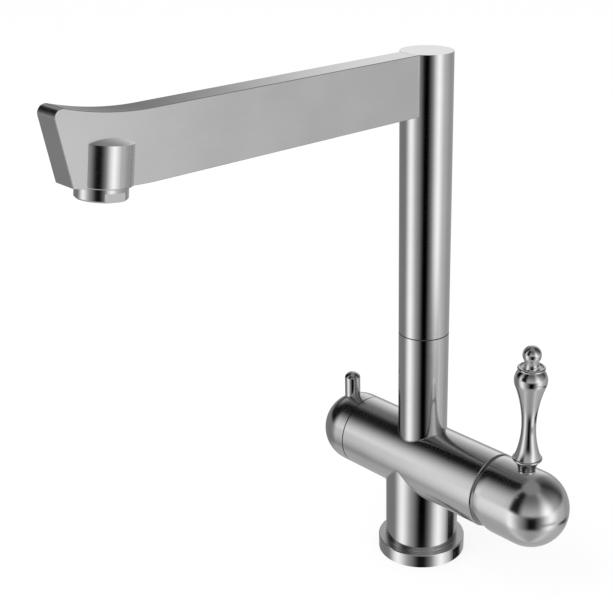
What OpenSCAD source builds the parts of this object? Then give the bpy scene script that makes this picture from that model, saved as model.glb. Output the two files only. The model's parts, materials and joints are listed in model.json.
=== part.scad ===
// Kitchen tap for mixed and filtered water, in millimetres.
// The deck is the plane z = 0, +Z is up, the spout points along -Y, and the mixer end is along +X.

/* [Base] */
// Diameter of the flange on the deck
flange_d = 54; // [50:0.5:62]
// Height of the flange
flange_h = 8.6; // [7:0.1:12]
// Rounding of the flange's top edge
flange_edge = 0.5; // [0.2:0.1:1.2]
// Flange wall outside the gasket's groove
gasket_rim = 2; // [1:0.5:3]
// Width of the deck gasket
gasket_w = 4; // [2.5:0.5:4.5]
// Thickness of the deck gasket
gasket_t = 2; // [1.5:0.1:3]
// Ledge of the flange under the inlet manifold
manifold_ledge = 2; // [1:0.5:3]
// Height of the inlet manifold above the flange
manifold_h = 18; // [14:1:24]
// Wall radius of the hose sockets
hose_socket_r = 4.5; // [3.5:0.1:4.8]
// Depth of the hose sockets
hose_socket_l = 12; // [8:1:16]
// Distance of the hot and cold sockets to either side
hose_side = 5.8; // [5.3:0.1:6.5]
// Distance of the hot and cold sockets to the front
hose_front = 9; // [8.5:0.1:10]
// Distance of the filtered water socket to the back
hose_back = 9.5; // [8.5:0.1:11]
// Circle diameter of the two fixing studs
stud_pcd = 27; // [26:0.5:28]
// Wall radius of the stud holes
stud_hole_r = 2.5; // [2:0.1:3]
// Depth of the stud holes
stud_hole_l = 14; // [10:1:20]

/* [Body] */
// Step of the pillar inside the barrel's side
pillar_step = 0.05; // [0.05:0.05:1]
// Wall of the pillar
pillar_wall = 2.5; // [1.5:0.1:3.5]
// Diameter of the barrel
barrel_d = 45; // [45:0.1:48]
// Wall of the barrel
barrel_wall = 2.5; // [1.5:0.1:3]
// Rounding of the barrel's end edges
barrel_edge = 0.4; // [0.2:0.1:0.8]
// Height of the barrel's axis
barrel_z = 63.5; // [58:0.5:75]
// Reach of the barrel to the filter end
barrel_left = 48.5; // [47:0.5:50]
// Length of the barrel
barrel_l = 106.7; // [104:0.1:120]
// Diameter of the riser and the spout column
column_d = 30.1; // [29:0.1:32]
// Wall of the riser and the spout column
column_wall = 2.5; // [1.5:0.1:3]
// Height of the swivel joint
swivel_z = 148; // [135:0.5:160]
// Outside diameter of the feed pipes
pipe_d = 8; // [6:0.5:8]
// Wall of the feed pipes
pipe_wall = 1; // [0.6:0.1:1.5]
// Depth of the pipes in their sockets
pipe_seat = 4; // [2:0.5:5]

/* [Swivel] */
// Thickness of the slide ring
slide_ring_t = 0.7; // [0.5:0.1:1.5]
// Step of the slide ring inside the column's face
slide_ring_step = 0.5; // [0.2:0.1:1]
// Radius of the spigot in the spout
spigot_r = 11.5; // [10.5:0.1:11.7]
// Wall of the spigot
spigot_wall = 3.5; // [3:0.1:4]
// Length of the spigot in the riser
spigot_down = 29; // [20:1:40]
// Length of the spigot in the spout
spigot_up = 40; // [36:1:50]
// Length of the spout's bush
bush_l = 19; // [16:1:20]
// Height of the retaining screw above the joint
screw_up = 10.5; // [7:0.5:12]
// Radius of the retaining screw
screw_r = 2; // [1.5:0.1:2.5]
// Swivel of the spout to each side, in degrees
swivel_turn = 110; // [60:5:120]
// Depth of the retaining screw's head in the column
screw_sunk = 0.4; // [0.2:0.1:1]
// Section radius of the spigot's O-rings
o_ring_r = 1.15; // [0.9:0.05:1.3]
// Height of the first O-ring above the joint
o_ring_up = 26; // [23:1:28]
// Step between the O-rings
o_ring_step = 7; // [5:0.5:8]

/* [Spout] */
// Height of the column's top
column_top = 315; // [290:1:340]
// Wall at the column's top
column_top_wall = 3.5; // [2:0.5:5]
// Thickness of the spout bar
bar_t = 14.5; // [13:0.1:16]
// Height of the spout bar
bar_h = 33.9; // [30:0.1:36]
// Wall of the spout bar
bar_wall = 2.2; // [1.5:0.1:2.6]
// Length of the bar's straight stretch from the column's axis
bar_straight = 185; // [160:1:210]
// Bend radius of the bar's upper edge
bend_r = 148; // [130:1:180]
// Reach of the bar's end at its lower edge, from the column's axis
bar_reach = 228.9; // [228:0.1:262]
// Lean of the bar's end face, in degrees
end_lean = 10; // [0:1:14]
// Rounding of the bar's upper tip
tip_r = 4; // [1:0.5:6]

/* [Nozzle] */
// Diameter of the nozzle housing
nozzle_d = 28.1; // [27:0.1:30]
// Length of the nozzle housing's straight side
nozzle_l = 19.5; // [18.5:0.1:21]
// Height of the nozzle's crown over its straight side
nozzle_crown = 3.1; // [2:0.1:4]
// Rounding of the nozzle's lower edge
nozzle_edge = 0.8; // [0.3:0.1:1.2]
// Distance of the nozzle from the bar's end
nozzle_in = 18.44; // [16:0.01:22]
// Height of the nozzle's lower end over the bar's lower edge
nozzle_rise = 2.4; // [1.8:0.1:3]
// Tilt of the nozzle, in degrees
nozzle_tilt = 7.8; // [4:0.1:10]
// Wall over the nozzle's chamber
nozzle_top_wall = 2; // [1.5:0.1:2.5]
// Radius of the nozzle's chamber
nozzle_chamber_r = 10; // [9.5:0.1:10.5]
// Wall radius of the aerator's socket
aerator_socket_r = 11.5; // [11.2:0.1:12]
// Depth of the aerator's socket
aerator_socket_l = 9; // [8.5:0.1:10]
// Diameter of the aerator's collar
aerator_collar_d = 24.2; // [24.1:0.1:25]
// Height of the aerator's collar
aerator_collar_h = 6.25; // [5:0.1:8]
// Bevel of the aerator's lower edge
aerator_bevel = 0.8; // [0.4:0.1:1.2]
// Distance across the aerator's spanner flats
aerator_flats = 21.8; // [21:0.1:23]
// Height of the spanner flats
aerator_flat_h = 4.3; // [3:0.1:4.5]
// Radius of the aerator's core
core_r = 9.5; // [9:0.1:9.8]
// Depth of the core's face in the collar
core_recess = 1; // [0.5:0.1:2]
// Height of the aerator's core
core_h = 10.5; // [10:0.1:11]
// Thickness of the aerator's gasket
aerator_gasket_t = 1.5; // [1:0.1:2]
// Lip of the aerator's gasket inside the nozzle's chamber
aerator_gasket_lip = 1; // [0.5:0.1:1.5]
// Jet holes in the inner and the outer ring
jet_counts = [12, 18];
// Radius of the inner ring and the outer ring of jet holes
jet_rings = [5, 7.5];
// Radius of a jet hole
jet_r = 0.8; // [0.5:0.1:0.9]
// Radius of the filtered water jet
filter_jet_r = 2; // [1.5:0.1:2.2]

/* [Filtered water tubes] */
// Outside diameter of the tubes
tube_d = 6; // [5:0.5:6]
// Wall of the tubes
tube_wall = 1; // [0.6:0.1:1.5]
// Bend radius at the column's top
tube_bend = 12; // [9:0.5:12]
// Bend radius at the nozzle
nozzle_bend = 6; // [5.5:0.1:6.5]
// Height of the tube over the bar's lower edge
tube_rise = 14.2; // [13.8:0.1:14.6]
// Length of the swivel cup between the tubes
cup_l = 16; // [15:1:24]
// Height of the swivel cup over the spigot
cup_lift = 2; // [1:0.5:4]
// Depth of the riser tube in the swivel cup
tube_in_cup = 12; // [9:0.5:13]
// Height of the seal in the swivel cup
cup_seal_up = 5.5; // [3:0.5:7]
// Wall of the swivel cup
cup_wall = 2.4; // [2:0.1:3]
// Wall of the ferrule at the tube's end
ferrule_wall = 0.5; // [0.3:0.1:0.8]
// Lap of the ferrule over the tube's bend
ferrule_lap = 1; // [0.5:0.1:1.5]
// Depth of the ferrule in the aerator's core
ferrule_seat = 3.4; // [2:0.1:5]
// Section radius of the cup's seal
cup_seal_r = 0.7; // [0.5:0.05:0.8]

/* [Mixer cartridge] */
// Wall of the nut round the cartridge
nut_wall = 2.55; // [2.5:0.05:3]
// Wall of the cartridge
cartridge_wall = 2.95; // [2.5:0.05:3]
// Distance of the lever's pivot from the barrel's end
pivot_in = 0.2; // [0:0.1:1]
// Lift of the lever, in degrees
lift_turn = 25; // [15:1:25]
// Distance of the cartridge's top from the barrel's end
cartridge_in = 2.2; // [2:0.1:3]
// Thickness of the cartridge's base
cartridge_base_t = 4; // [3.5:0.5:6]
// Thickness of the fixed disc
fixed_disc_t = 4; // [3:0.5:5]
// Thickness of the sliding disc
sliding_disc_t = 3; // [2.5:0.5:4]
// Room round the slider at the ends of its travel
slider_room = 0.6; // [0.4:0.1:1.2]
// Thickness of the slider
slider_t = 6; // [5.5:0.1:7]
// Height of the slider's rail
rail_h = 1.5; // [1:0.1:2]
// Width of the slider's rail
rail_w = 12; // [10:0.5:14]
// Radius of the slider's pocket
pocket_r = 3.2; // [3.1:0.05:3.5]
// Thickness of the rotor's flange
rotor_flange_t = 3.9; // [3:0.1:5]
// Step of the rotor's stem inside the chamber
rotor_step = 3; // [2.5:0.1:3.1]
// Radius of the cartridge's ports
port_r = 2.8; // [2.6:0.1:3]
// Width of the seals round the cartridge's ports
port_seal_w = 1.6; // [1.2:0.1:2]
// Radius of the way from the cartridge to the riser
mixed_way_r = 2.3; // [1.8:0.1:2.5]
// Height of the pool under the riser, over the barrel's axis
mixed_pool_up = 3.4; // [2:0.1:4]
// Depth of the valve block's blind waterways
way_depth = 8; // [5:0.5:9]
// Circle radius of the cartridge's ports
port_circle = 9; // [8:0.5:9]
// Radius of the pivot pin
pivot_pin_r = 1.5; // [1.2:0.1:2]
// How much narrower the square spindle is than the chamber's radius
spindle_room = 6.5; // [6.5:0.1:7.5]
// Radius of the spindle's neck
spindle_neck_r = 1.5; // [1.2:0.1:1.6]
// Radius of the spindle's ball
spindle_ball_r = 2.6; // [2.3:0.05:2.6]
// How much longer the spindle's arm is than the chamber's radius
arm_over = 1; // [0:0.1:1.5]
// Depth of the ball's centre in the slider's pocket
ball_sunk = 3; // [2.6:0.1:3.2]
// Length of the spindle's square on the ball's side of the pivot
spindle_tail = 6; // [4:0.5:7]
// Rotor beyond the pivot pin
rotor_ear = 1; // [0.8:0.1:1.5]
// Length of the locating pegs
peg_l = 3; // [2:0.5:5]
// Radius of the locating pegs
peg_r = 1.5; // [1:0.1:1.8]

/* [Mixer lever] */
// Step of the nut's dome inside the barrel's side
nut_dome_step = 0.8; // [0.7:0.1:1]
// Wall of the cartridge nut's dome
nut_dome_wall = 2.5; // [1.5:0.1:3]
// Reach of the dome beyond the pivot
nut_dome_out = 10; // [8:0.5:10]
// Gap between the rotor and the cartridge nut's bore
nut_bore_gap = 1.5; // [1:0.1:2]
// Length of the nut's thread
nut_thread_l = 10; // [8:0.5:12]
// Gap between the barrel's end and the mixer cap
mixer_gap = 2.3; // [2:0.1:3]
// Slant of the cap's lower rim, in degrees
rim_slant = 26.6; // [26:0.1:32]
// Distance of the mixer dome's centre from the barrel's end
mixer_dome_out = 27.4; // [25:0.1:32]
// Wall of the caps
cap_wall = 3; // [2:0.1:3.5]
// Distance of the handle's axis from the barrel's end
handle_out = 23.5; // [23:0.1:24.5]
// Height of the handle from its seat to the top of its ball
handle_h = 78.7; // [78:0.1:82]
// Depth of the handle's seat at its shallowest
seat_sunk = 0.2; // [0.1:0.1:0.5]
// Radius of the handle's foot
foot_r = 4.6; // [4.4:0.1:5.2]
// Rounding of the handle's foot
foot_edge = 1; // [0.8:0.1:1.6]
// Step of the handle's neck inside the foot
neck_step = 0.2; // [0.1:0.1:0.6]
// Profile radius of the handle's neck
neck_arc_r = 14; // [8:0.5:20]
// Height of the handle's ring over its seat
ring_up = 9.1; // [8:0.1:10]
// Radius of the handle's ring
ring_r = 8.6; // [8:0.1:9.5]
// Rounding of the handle's ring
ring_edge = 0.9; // [0.6:0.1:1.2]
// Height of the handle's waist over its seat
waist_up = 29.6; // [26:0.1:32]
// Radius of the handle's waist
waist_r = 4.2; // [4:0.1:5]
// Height of the handle's bulb over its seat
bulb_up = 58.1; // [54:0.1:60]
// Radius of the handle's bulb
bulb_r = 9.5; // [8.5:0.1:10]
// Profile radius of the handle's bulb
bulb_arc_r = 9; // [8:0.1:9.2]
// Height of the handle's lip over its seat
lip_up = 65.4; // [64.5:0.1:66]
// Radius of the handle's lip
lip_r = 7.95; // [7.5:0.05:8.2]
// Rounding of the handle's lip
lip_edge = 0.85; // [0.6:0.05:1]
// Radius of the handle's ball
ball_r = 5.35; // [5:0.05:5.8]
// Radius of the neck under the ball
ball_neck_r = 4.2; // [3.5:0.1:4.6]
// Radius of the stud in the handle
handle_stud_r = 2.95; // [2.5:0.05:3]
// Depth of the stud in the handle
stud_in_handle = 10; // [8:0.5:14]
// Radius of the spindle hub's neck
hub_neck_r = 8.5; // [8:0.1:9]
// Length of the hub's neck
hub_neck_l = 8.5; // [7:0.1:9]
// Width of the hub's flange
hub_flange_w = 7.9; // [7:0.1:8]
// Floor of the hub between the spindle and the stud
stud_floor = 1; // [0.5:0.1:2]
// Radius of the water's way across the sliding disc
disc_pocket_r = 6.3; // [5.5:0.1:7]

/* [Filter valve] */
// Gap between the barrel and the filter cap
filter_gap = 0.4; // [0.3:0.05:0.8]
// Length of the filter cap's straight stretch
filter_cap_l = 6.75; // [5:0.05:10]
// Distance of the pin from the filter dome's centre
pin_out = 6.55; // [3:0.05:9]
// Radius of the filter pin
pin_r = 4.95; // [4:0.05:6]
// Height of the pin's top over the barrel's axis
pin_up = 37; // [32:0.5:45]
// Rise of the pin's domed end
pin_dome = 3; // [1.5:0.1:4]
// Radius of the pin's spigot
pin_spigot_r = 3; // [2:0.1:3.4]
// Floor of the boss between the spindle and the pin's spigot
pin_floor = 1.5; // [1:0.1:3]
// Radius of the filter spindle
filter_spindle_r = 4; // [3:0.1:4.5]
// Reach of the filter spindle beyond the dome's centre
filter_spindle_out = 10.5; // [8:0.5:14]
// Thickness of the filter spindle's foot
spindle_foot_t = 2.3; // [1.5:0.1:3]
// Radius of the filter cap's boss
boss_r = 8; // [7:0.1:9]
// Gap between the boss and the headwork's gland
boss_gap = 1.5; // [0.5:0.1:2]
// Distance of the valve block from the barrel's filter end
block_in = 12.5; // [11:0.5:14]
// Radius of the headwork's thread
headwork_r = 10.4; // [10:0.1:11]
// Wall of the headwork round its discs
headwork_wall = 1.9; // [1.2:0.1:2.2]
// Distance across the headwork's hexagon
headwork_hex = 24; // [22:0.5:26]
// Length of the headwork's hexagon
headwork_hex_l = 6; // [4:0.5:7]
// Length of the headwork in the valve block
headwork_in = 13.4; // [13:0.1:15]
// Length of the headwork's gland
gland_l = 7.5; // [6:0.5:8]
// Thickness of the filter valve's discs
filter_disc_t = 3; // [2:0.1:3]
// Radius of the ports in the filter valve's discs
filter_port_r = 2.8; // [2:0.1:3]
// Distance of the discs' ports from the spindle's axis
filter_port_out = 4.2; // [4:0.1:4.8]
// Thickness of the headwork's end seal
headwork_seal_t = 2; // [1.5:0.1:2.5]
// Width of the headwork's end seal
headwork_seal_w = 3; // [2:0.1:4]
// Radius of the cap's grub screw
grub_r = 2; // [1.5:0.1:2.5]
// Distance of the grub screw from the dome's centre
grub_out = 4.5; // [3:0.5:6]

/* [Fits] */
// Radial clearance of pieces that turn on each other
running_fit = 0.06; // [0.03:0.01:0.09]
// Clearance of pieces that are fixed in each other
seat_fit = 0.05; // [0.02:0.01:0.1]
// Clearance of moving pieces that don't touch
free_gap = 0.35; // [0.3:0.05:0.4]

/* [Hidden] */
$fn = 96;
past = 1;
flange_r = flange_d / 2;
barrel_r = barrel_d / 2;
barrel_right = barrel_l - barrel_left;
pillar_r = barrel_r - pillar_step;
pillar_bore_r = pillar_r - pillar_wall;
barrel_bore_r = barrel_r - barrel_wall;
column_r = column_d / 2;
column_bore_r = column_r - column_wall;
flange_bore_r = pillar_bore_r - manifold_ledge;
gasket_out_r = flange_r - gasket_rim;
gasket_in_r = gasket_out_r - gasket_w;
manifold_top = flange_h + manifold_h;
pipe_r = pipe_d / 2;
hot_xy = [-hose_side, -hose_front];
cold_xy = [hose_side, -hose_front];
filter_xy = [0, hose_back];
hose_xy = [hot_xy, cold_xy, filter_xy];
block_r = barrel_bore_r - seat_fit;

// Swivel
spout_z = swivel_z + slide_ring_t;
spigot_bore_r = spigot_r - spigot_wall;
screw_z = swivel_z + screw_up;
screw_tip_y = spigot_r - screw_r + free_gap;
groove_r = spigot_r - screw_r;
groove_turn = swivel_turn + asin((screw_r + free_gap) / groove_r);
o_ring_centre_r = column_bore_r - 2 * seat_fit - o_ring_r;
o_ring_zs = [swivel_z + o_ring_up, swivel_z + o_ring_up + o_ring_step];

// Spout bar, drawn as [distance from the column's axis, height]
bar_bottom = column_top - bar_h;
bend_centre = [bar_straight, column_top + bend_r];
bend_out_r = bend_r + bar_h;
end_run = bar_reach - bar_straight;
end_foot = [bar_reach, bend_centre[1] - sqrt(bend_out_r * bend_out_r - end_run * end_run)];
end_dir = [sin(end_lean), cos(end_lean)];
end_out = [cos(end_lean), -sin(end_lean)];
tip_depth = (end_foot - bend_centre) * end_out - tip_r;
tip_rise = sqrt(pow(bend_r + tip_r, 2) - tip_depth * tip_depth);
tip_centre = bend_centre + tip_depth * end_out - tip_rise * end_dir;
tip_on_end = tip_centre + tip_r * end_out;
tip_on_top = tip_centre + tip_r * (bend_centre - tip_centre) / (bend_r + tip_r);
tip_corner = tip_on_end + bar_h * end_dir;
channel_w = bar_t - 2 * bar_wall;
channel_bottom = bar_bottom + bar_wall;
channel_top = column_top - max(bar_wall, column_top_wall);

// Nozzle
nozzle_r = nozzle_d / 2;
nozzle_top = nozzle_l + nozzle_crown;
crown_r = (nozzle_r ^ 2 + nozzle_crown ^ 2) / (2 * nozzle_crown);
nozzle_out = bar_reach - nozzle_in;
nozzle_z = bar_bottom + nozzle_rise;
chamber_top = nozzle_l - nozzle_top_wall;
aerator_thread_r = aerator_socket_r - seat_fit;
aerator_thread_l = aerator_socket_l - aerator_gasket_t;
aerator_collar_r = aerator_collar_d / 2;
core_bottom = core_recess - aerator_collar_h;
core_top = core_bottom + core_h;
tube_r = tube_d / 2;
tube_bore_r = tube_r - tube_wall;
tube_z = bar_bottom + tube_rise;
elbow_end_z = tube_z - nozzle_bend * (1 - sin(nozzle_tilt));
elbow_end_y = -nozzle_out + (elbow_end_z - nozzle_z) * tan(nozzle_tilt);
elbow_y = elbow_end_y + nozzle_bend * cos(nozzle_tilt);
elbow_turn = 90 - nozzle_tilt;
elbow_end_s = (elbow_end_z - nozzle_z) / cos(nozzle_tilt);
window_h = tube_d + 2 * free_gap;
cup_z = swivel_z + spigot_up + cup_lift;
cup_r = tube_r + running_fit + cup_wall;
cup_seal_centre_r = tube_r + running_fit + cup_seal_r;
cup_seal_z = cup_z + cup_seal_up;
riser_tube_top = cup_z + tube_in_cup;

// Mixer, with x along the barrel
cartridge_r = barrel_bore_r - nut_wall;
chamber_r = cartridge_r - cartridge_wall;
rotor_r = chamber_r - rotor_step;
nut_dome_r = barrel_r - nut_dome_step;
spindle_w = chamber_r - spindle_room;
arm_l = chamber_r + arm_over;
pivot_x = barrel_right - pivot_in;
cartridge_top = barrel_right - cartridge_in;
ball_x = pivot_x - arm_l;
rail_top_x = ball_x + ball_sunk;
slider_top_x = rail_top_x - rail_h;
slider_x = slider_top_x - slider_t;
sliding_disc_x = slider_x - sliding_disc_t;
fixed_disc_x = sliding_disc_x - fixed_disc_t;
base_x = fixed_disc_x - cartridge_base_t;
pocket_depth = ball_sunk + spindle_ball_r + free_gap;
rotor_x = slider_top_x + free_gap;
rotor_shoulder_x = rotor_x + rotor_flange_t;
rotor_flange_r = chamber_r - free_gap;
rotor_top_x = pivot_x + pivot_pin_r + rotor_ear;
slide_travel = arm_l * lift_turn * PI / 180;
slider_drop = slide_travel / 2;
slider_r = chamber_r - slider_drop - slider_room;
slot_high = arm_l * sin(lift_turn) + spindle_ball_r + free_gap;
slot_low = spindle_w / 2 + spindle_tail * sin(lift_turn);
slot_w = spindle_w + 2 * free_gap;
handle_x = barrel_right + handle_out;
hub_flange_x = handle_x - hub_flange_w / 2;
hub_x = hub_flange_x - hub_neck_l;
cap_bore_r = barrel_r - cap_wall;
hub_r = cap_bore_r - seat_fit;
cap_x = barrel_right + mixer_gap;
mixer_dome_x = barrel_right + mixer_dome_out;
cap_cup_r = nut_dome_r + free_gap;
spotface_r = foot_r + 2 * seat_fit;
handle_seat_z = barrel_z + sqrt(barrel_r * barrel_r - spotface_r * spotface_r) - seat_sunk;
stud_bottom_z = barrel_z + spindle_w / 2 + stud_floor;

// Filter valve
filter_cap_x = -barrel_left - filter_gap;
filter_dome_x = filter_cap_x - filter_cap_l;
pin_x = filter_dome_x - pin_out;
block_left = -barrel_left + block_in;
socket_x = block_left + headwork_in;
filter_fixed_x = socket_x - headwork_seal_t;
filter_rotor_x = filter_fixed_x - filter_disc_t;
spindle_foot_x = filter_rotor_x - filter_disc_t;
headwork_chamber_r = headwork_r - headwork_wall;
headwork_seal_in_r = headwork_chamber_r - headwork_seal_w;
headwork_chamber_x = spindle_foot_x - spindle_foot_t - free_gap;
gland_r = boss_r;
gland_x = block_left - headwork_hex_l;
boss_x = gland_x - gland_l - boss_gap;
filter_spindle_x = filter_dome_x - filter_spindle_out;
grub_x = filter_dome_x - grub_out;
pin_seat_z = barrel_z + filter_spindle_r + pin_floor;

// A revolved profile whose height runs along +X from x, on the barrel's axis
module turned_on_barrel(x = 0) {
    translate([x, 0, barrel_z])
        rotate([0, 90, 0])
            rotate_extrude()
                children();
}

// A round bar between two places along the barrel's axis
module barrel_rod(from, to, r) {
    translate([from, 0, barrel_z])
        rotate([0, 90, 0])
            cylinder(h = to - from, r = r);
}

// Children placed on the cartridge's face at x, once for each port
module at_ports(x) {
    for (turn = [180, 60, -60])
        translate([x, 0, barrel_z])
            rotate([turn, 0, 0])
                translate([0, 0, -port_circle])
                    rotate([0, 90, 0])
                        children();
}

// Children placed on the nozzle's axis, with z along it and 0 at its lower end
module on_nozzle() {
    translate([0, -nozzle_out, nozzle_z])
        rotate([-nozzle_tilt, 0, 0])
            children();
}

// The half section of a ring, with its outer edges rounded below or above
module ring_section(r_in, r_out, h, low = 0, high = 0) {
    difference() {
        translate([r_in, 0])
            square([r_out - r_in, h]);
        if (low > 0)
            difference() {
                translate([r_out - low, 0])
                    square([low, low]);
                translate([r_out - low, low])
                    circle(r = low);
            }
        if (high > 0)
            difference() {
                translate([r_out - high, h - high])
                    square([high, high]);
                translate([r_out - high, h - high])
                    circle(r = high);
            }
    }
}

// A straight tube along z
module pipe(h, r, bore_r) {
    rotate_extrude()
        ring_section(bore_r, r, h);
}

module base_flange() {
    color("silver")
        rotate_extrude()
            difference() {
                ring_section(flange_bore_r, flange_r, flange_h, high = flange_edge);
                translate([gasket_in_r - seat_fit, 0])
                    square([gasket_w + 2 * seat_fit, gasket_t]);
            }
}

module base_gasket() {
    color("dimgray")
        pipe(gasket_t, gasket_out_r, gasket_in_r);
}

module inlet_manifold() {
    color("goldenrod")
        difference() {
            rotate_extrude()
                union() {
                    square([flange_bore_r - seat_fit, flange_h]);
                    translate([0, flange_h])
                        square([pillar_bore_r - seat_fit, manifold_h]);
                }
            for (xy = hose_xy)
                translate(xy) {
                    cylinder(h = hose_socket_l, r = hose_socket_r);
                    cylinder(h = manifold_top, r = pipe_r - pipe_wall);
                    translate([0, 0, manifold_top - pipe_seat])
                        cylinder(h = pipe_seat, r = pipe_r + seat_fit);
                }
            for (side = [-1, 1])
                translate([side * stud_pcd / 2, 0, 0])
                    cylinder(h = stud_hole_l, r = stud_hole_r);
        }
}

module lower_pillar() {
    color("silver")
        difference() {
            translate([0, 0, flange_h])
                pipe(barrel_z - flange_h, pillar_r, pillar_bore_r);
            barrel_rod(-barrel_d, barrel_d, barrel_r);
        }
}

// How far up a feed pipe reaches into the valve block
function pipe_top(xy) = barrel_z - sqrt(block_r * block_r - xy[1] * xy[1]) + pipe_seat;

module feed_pipe(xy) {
    color("peru")
        translate([xy[0], xy[1], manifold_top - pipe_seat])
            pipe(pipe_top(xy) - manifold_top + pipe_seat, pipe_r, pipe_r - pipe_wall);
}

module hot_feed_pipe() {
    feed_pipe(hot_xy);
}

module cold_feed_pipe() {
    feed_pipe(cold_xy);
}

module filter_feed_pipe() {
    feed_pipe(filter_xy);
}

module barrel() {
    color("silver")
        difference() {
            turned_on_barrel(-barrel_left)
                ring_section(
                    barrel_bore_r, barrel_r, barrel_left + barrel_right,
                    low = barrel_edge, high = barrel_edge
                );
            cylinder(h = barrel_z, r = flange_bore_r);
            translate([0, 0, barrel_z])
                cylinder(h = barrel_d, r = column_bore_r);
        }
}

module valve_block() {
    color("goldenrod")
        difference() {
            barrel_rod(block_left, base_x, block_r);
            barrel_rod(block_left - past, socket_x, headwork_r + seat_fit);
            barrel_rod(block_left, socket_x + way_depth, headwork_seal_in_r);
            for (xy = hose_xy)
                translate(xy)
                    cylinder(h = pipe_top(xy), r = pipe_r + seat_fit);
            translate([0, 0, barrel_z])
                cylinder(h = barrel_d, r = tube_r + seat_fit);
            translate([0, 0, barrel_z + mixed_pool_up])
                cylinder(h = barrel_d, r = spigot_bore_r);
            at_ports(base_x - way_depth)
                cylinder(h = way_depth + past, r = port_r);
            translate([0, 0, barrel_z + port_circle])
                rotate([0, 90, 0])
                    cylinder(h = base_x - way_depth + past, r = mixed_way_r);
            pegs(peg_l + free_gap, peg_r + seat_fit);
        }
}

// Two pegs that point away from the cartridge's base
module pegs(l, r) {
    for (side = [-1, 1])
        translate([base_x - l, side * (cartridge_r - 2 * peg_r), barrel_z])
            rotate([0, 90, 0])
                cylinder(h = l + past, r = r);
}

module riser() {
    color("silver")
        difference() {
            translate([0, 0, barrel_z])
                pipe(swivel_z - barrel_z, column_r, column_bore_r);
            barrel_rod(-column_d, column_d, barrel_r);
        }
}

module swivel_spigot() {
    color("goldenrod")
        translate([0, 0, swivel_z])
            difference() {
                rotate_extrude()
                    difference() {
                        union() {
                            translate([spigot_bore_r, -spigot_down])
                                square([column_bore_r - seat_fit - spigot_bore_r, spigot_down]);
                            translate([spigot_bore_r, -past])
                                square([spigot_wall, spigot_up + past]);
                        }
                        for (z = o_ring_zs)
                            translate([
                                o_ring_centre_r - o_ring_r - seat_fit,
                                z - swivel_z - o_ring_r - seat_fit
                            ])
                                square([column_r, 2 * (o_ring_r + seat_fit)]);
                    }
                rotate([0, 0, 90 - groove_turn])
                    rotate_extrude(angle = 2 * groove_turn)
                        translate([groove_r, screw_up - screw_r - free_gap])
                            square([column_r, 2 * (screw_r + free_gap)]);
            }
}

module spigot_o_rings() {
    color("black")
        for (z = o_ring_zs)
            translate([0, 0, z])
                rotate_extrude()
                    translate([o_ring_centre_r, 0])
                        circle(r = o_ring_r, $fn = 32);
}

module slide_ring() {
    color("dimgray")
        translate([0, 0, swivel_z])
            pipe(slide_ring_t, column_r - slide_ring_step, spigot_r + running_fit);
}

module filter_riser_tube() {
    color("whitesmoke")
        translate([0, 0, barrel_z])
            pipe(riser_tube_top - barrel_z, tube_r, tube_bore_r);
}

module cartridge_base() {
    color("whitesmoke")
        difference() {
            union() {
                barrel_rod(base_x, fixed_disc_x, cartridge_r);
                pegs(peg_l, peg_r);
            }
            at_ports(base_x - past) {
                cylinder(h = cartridge_base_t + 2 * past, r = port_r);
                cylinder(h = past + cartridge_base_t / 2, r = port_r + port_seal_w);
            }
        }
}

module cartridge_port_seals() {
    color("black")
        at_ports(base_x)
            pipe(cartridge_base_t / 2, port_r + port_seal_w - seat_fit, port_r);
}

module cartridge_housing() {
    color("whitesmoke")
        turned_on_barrel(fixed_disc_x)
            difference() {
                ring_section(rotor_r + running_fit, cartridge_r, cartridge_top - fixed_disc_x);
                square([chamber_r, rotor_shoulder_x + free_gap - fixed_disc_x]);
            }
}

module fixed_ceramic_disc() {
    color("white")
        difference() {
            barrel_rod(fixed_disc_x, sliding_disc_x, chamber_r - seat_fit);
            at_ports(fixed_disc_x - past)
                cylinder(h = fixed_disc_t + 2 * past, r = port_r);
        }
}

module cartridge_nut() {
    color("gray")
        turned_on_barrel(barrel_right) {
            difference() {
                translate([0, -nut_thread_l])
                    square([block_r, nut_thread_l]);
                translate([0, -nut_thread_l - past])
                    square([cartridge_r + seat_fit, nut_thread_l + past - cartridge_in]);
                translate([0, -nut_thread_l])
                    square([rotor_r + nut_bore_gap, nut_thread_l + past]);
            }
            intersection() {
                translate([0, -pivot_in])
                    difference() {
                        circle(r = nut_dome_r);
                        circle(r = nut_dome_r - nut_dome_wall);
                    }
                square([nut_dome_r, nut_dome_out - pivot_in]);
            }
        }
}

module filter_headwork() {
    color("goldenrod")
        difference() {
            union() {
                barrel_rod(block_left, socket_x - seat_fit, headwork_r);
                translate([gland_x, 0, barrel_z])
                    rotate([0, 90, 0])
                        cylinder(h = headwork_hex_l, d = headwork_hex / cos(30), $fn = 6);
                barrel_rod(gland_x - gland_l, gland_x, gland_r);
            }
            barrel_rod(headwork_chamber_x, socket_x + past, headwork_chamber_r);
            barrel_rod(boss_x, socket_x, filter_spindle_r + running_fit);
        }
}

module headwork_seal() {
    color("black")
        turned_on_barrel(filter_fixed_x)
            ring_section(headwork_seal_in_r, headwork_chamber_r - seat_fit, headwork_seal_t);
}

// A valve disc with one round port
module filter_disc(x, r) {
    color("white")
        difference() {
            barrel_rod(x, x + filter_disc_t, r);
            translate([x - past, 0, barrel_z + filter_port_out])
                rotate([0, 90, 0])
                    cylinder(h = filter_disc_t + 2 * past, r = filter_port_r);
        }
}

module filter_fixed_disc() {
    filter_disc(filter_rotor_x, headwork_chamber_r - seat_fit);
}

module filter_rotating_disc() {
    filter_disc(spindle_foot_x, headwork_chamber_r - free_gap);
}

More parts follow.
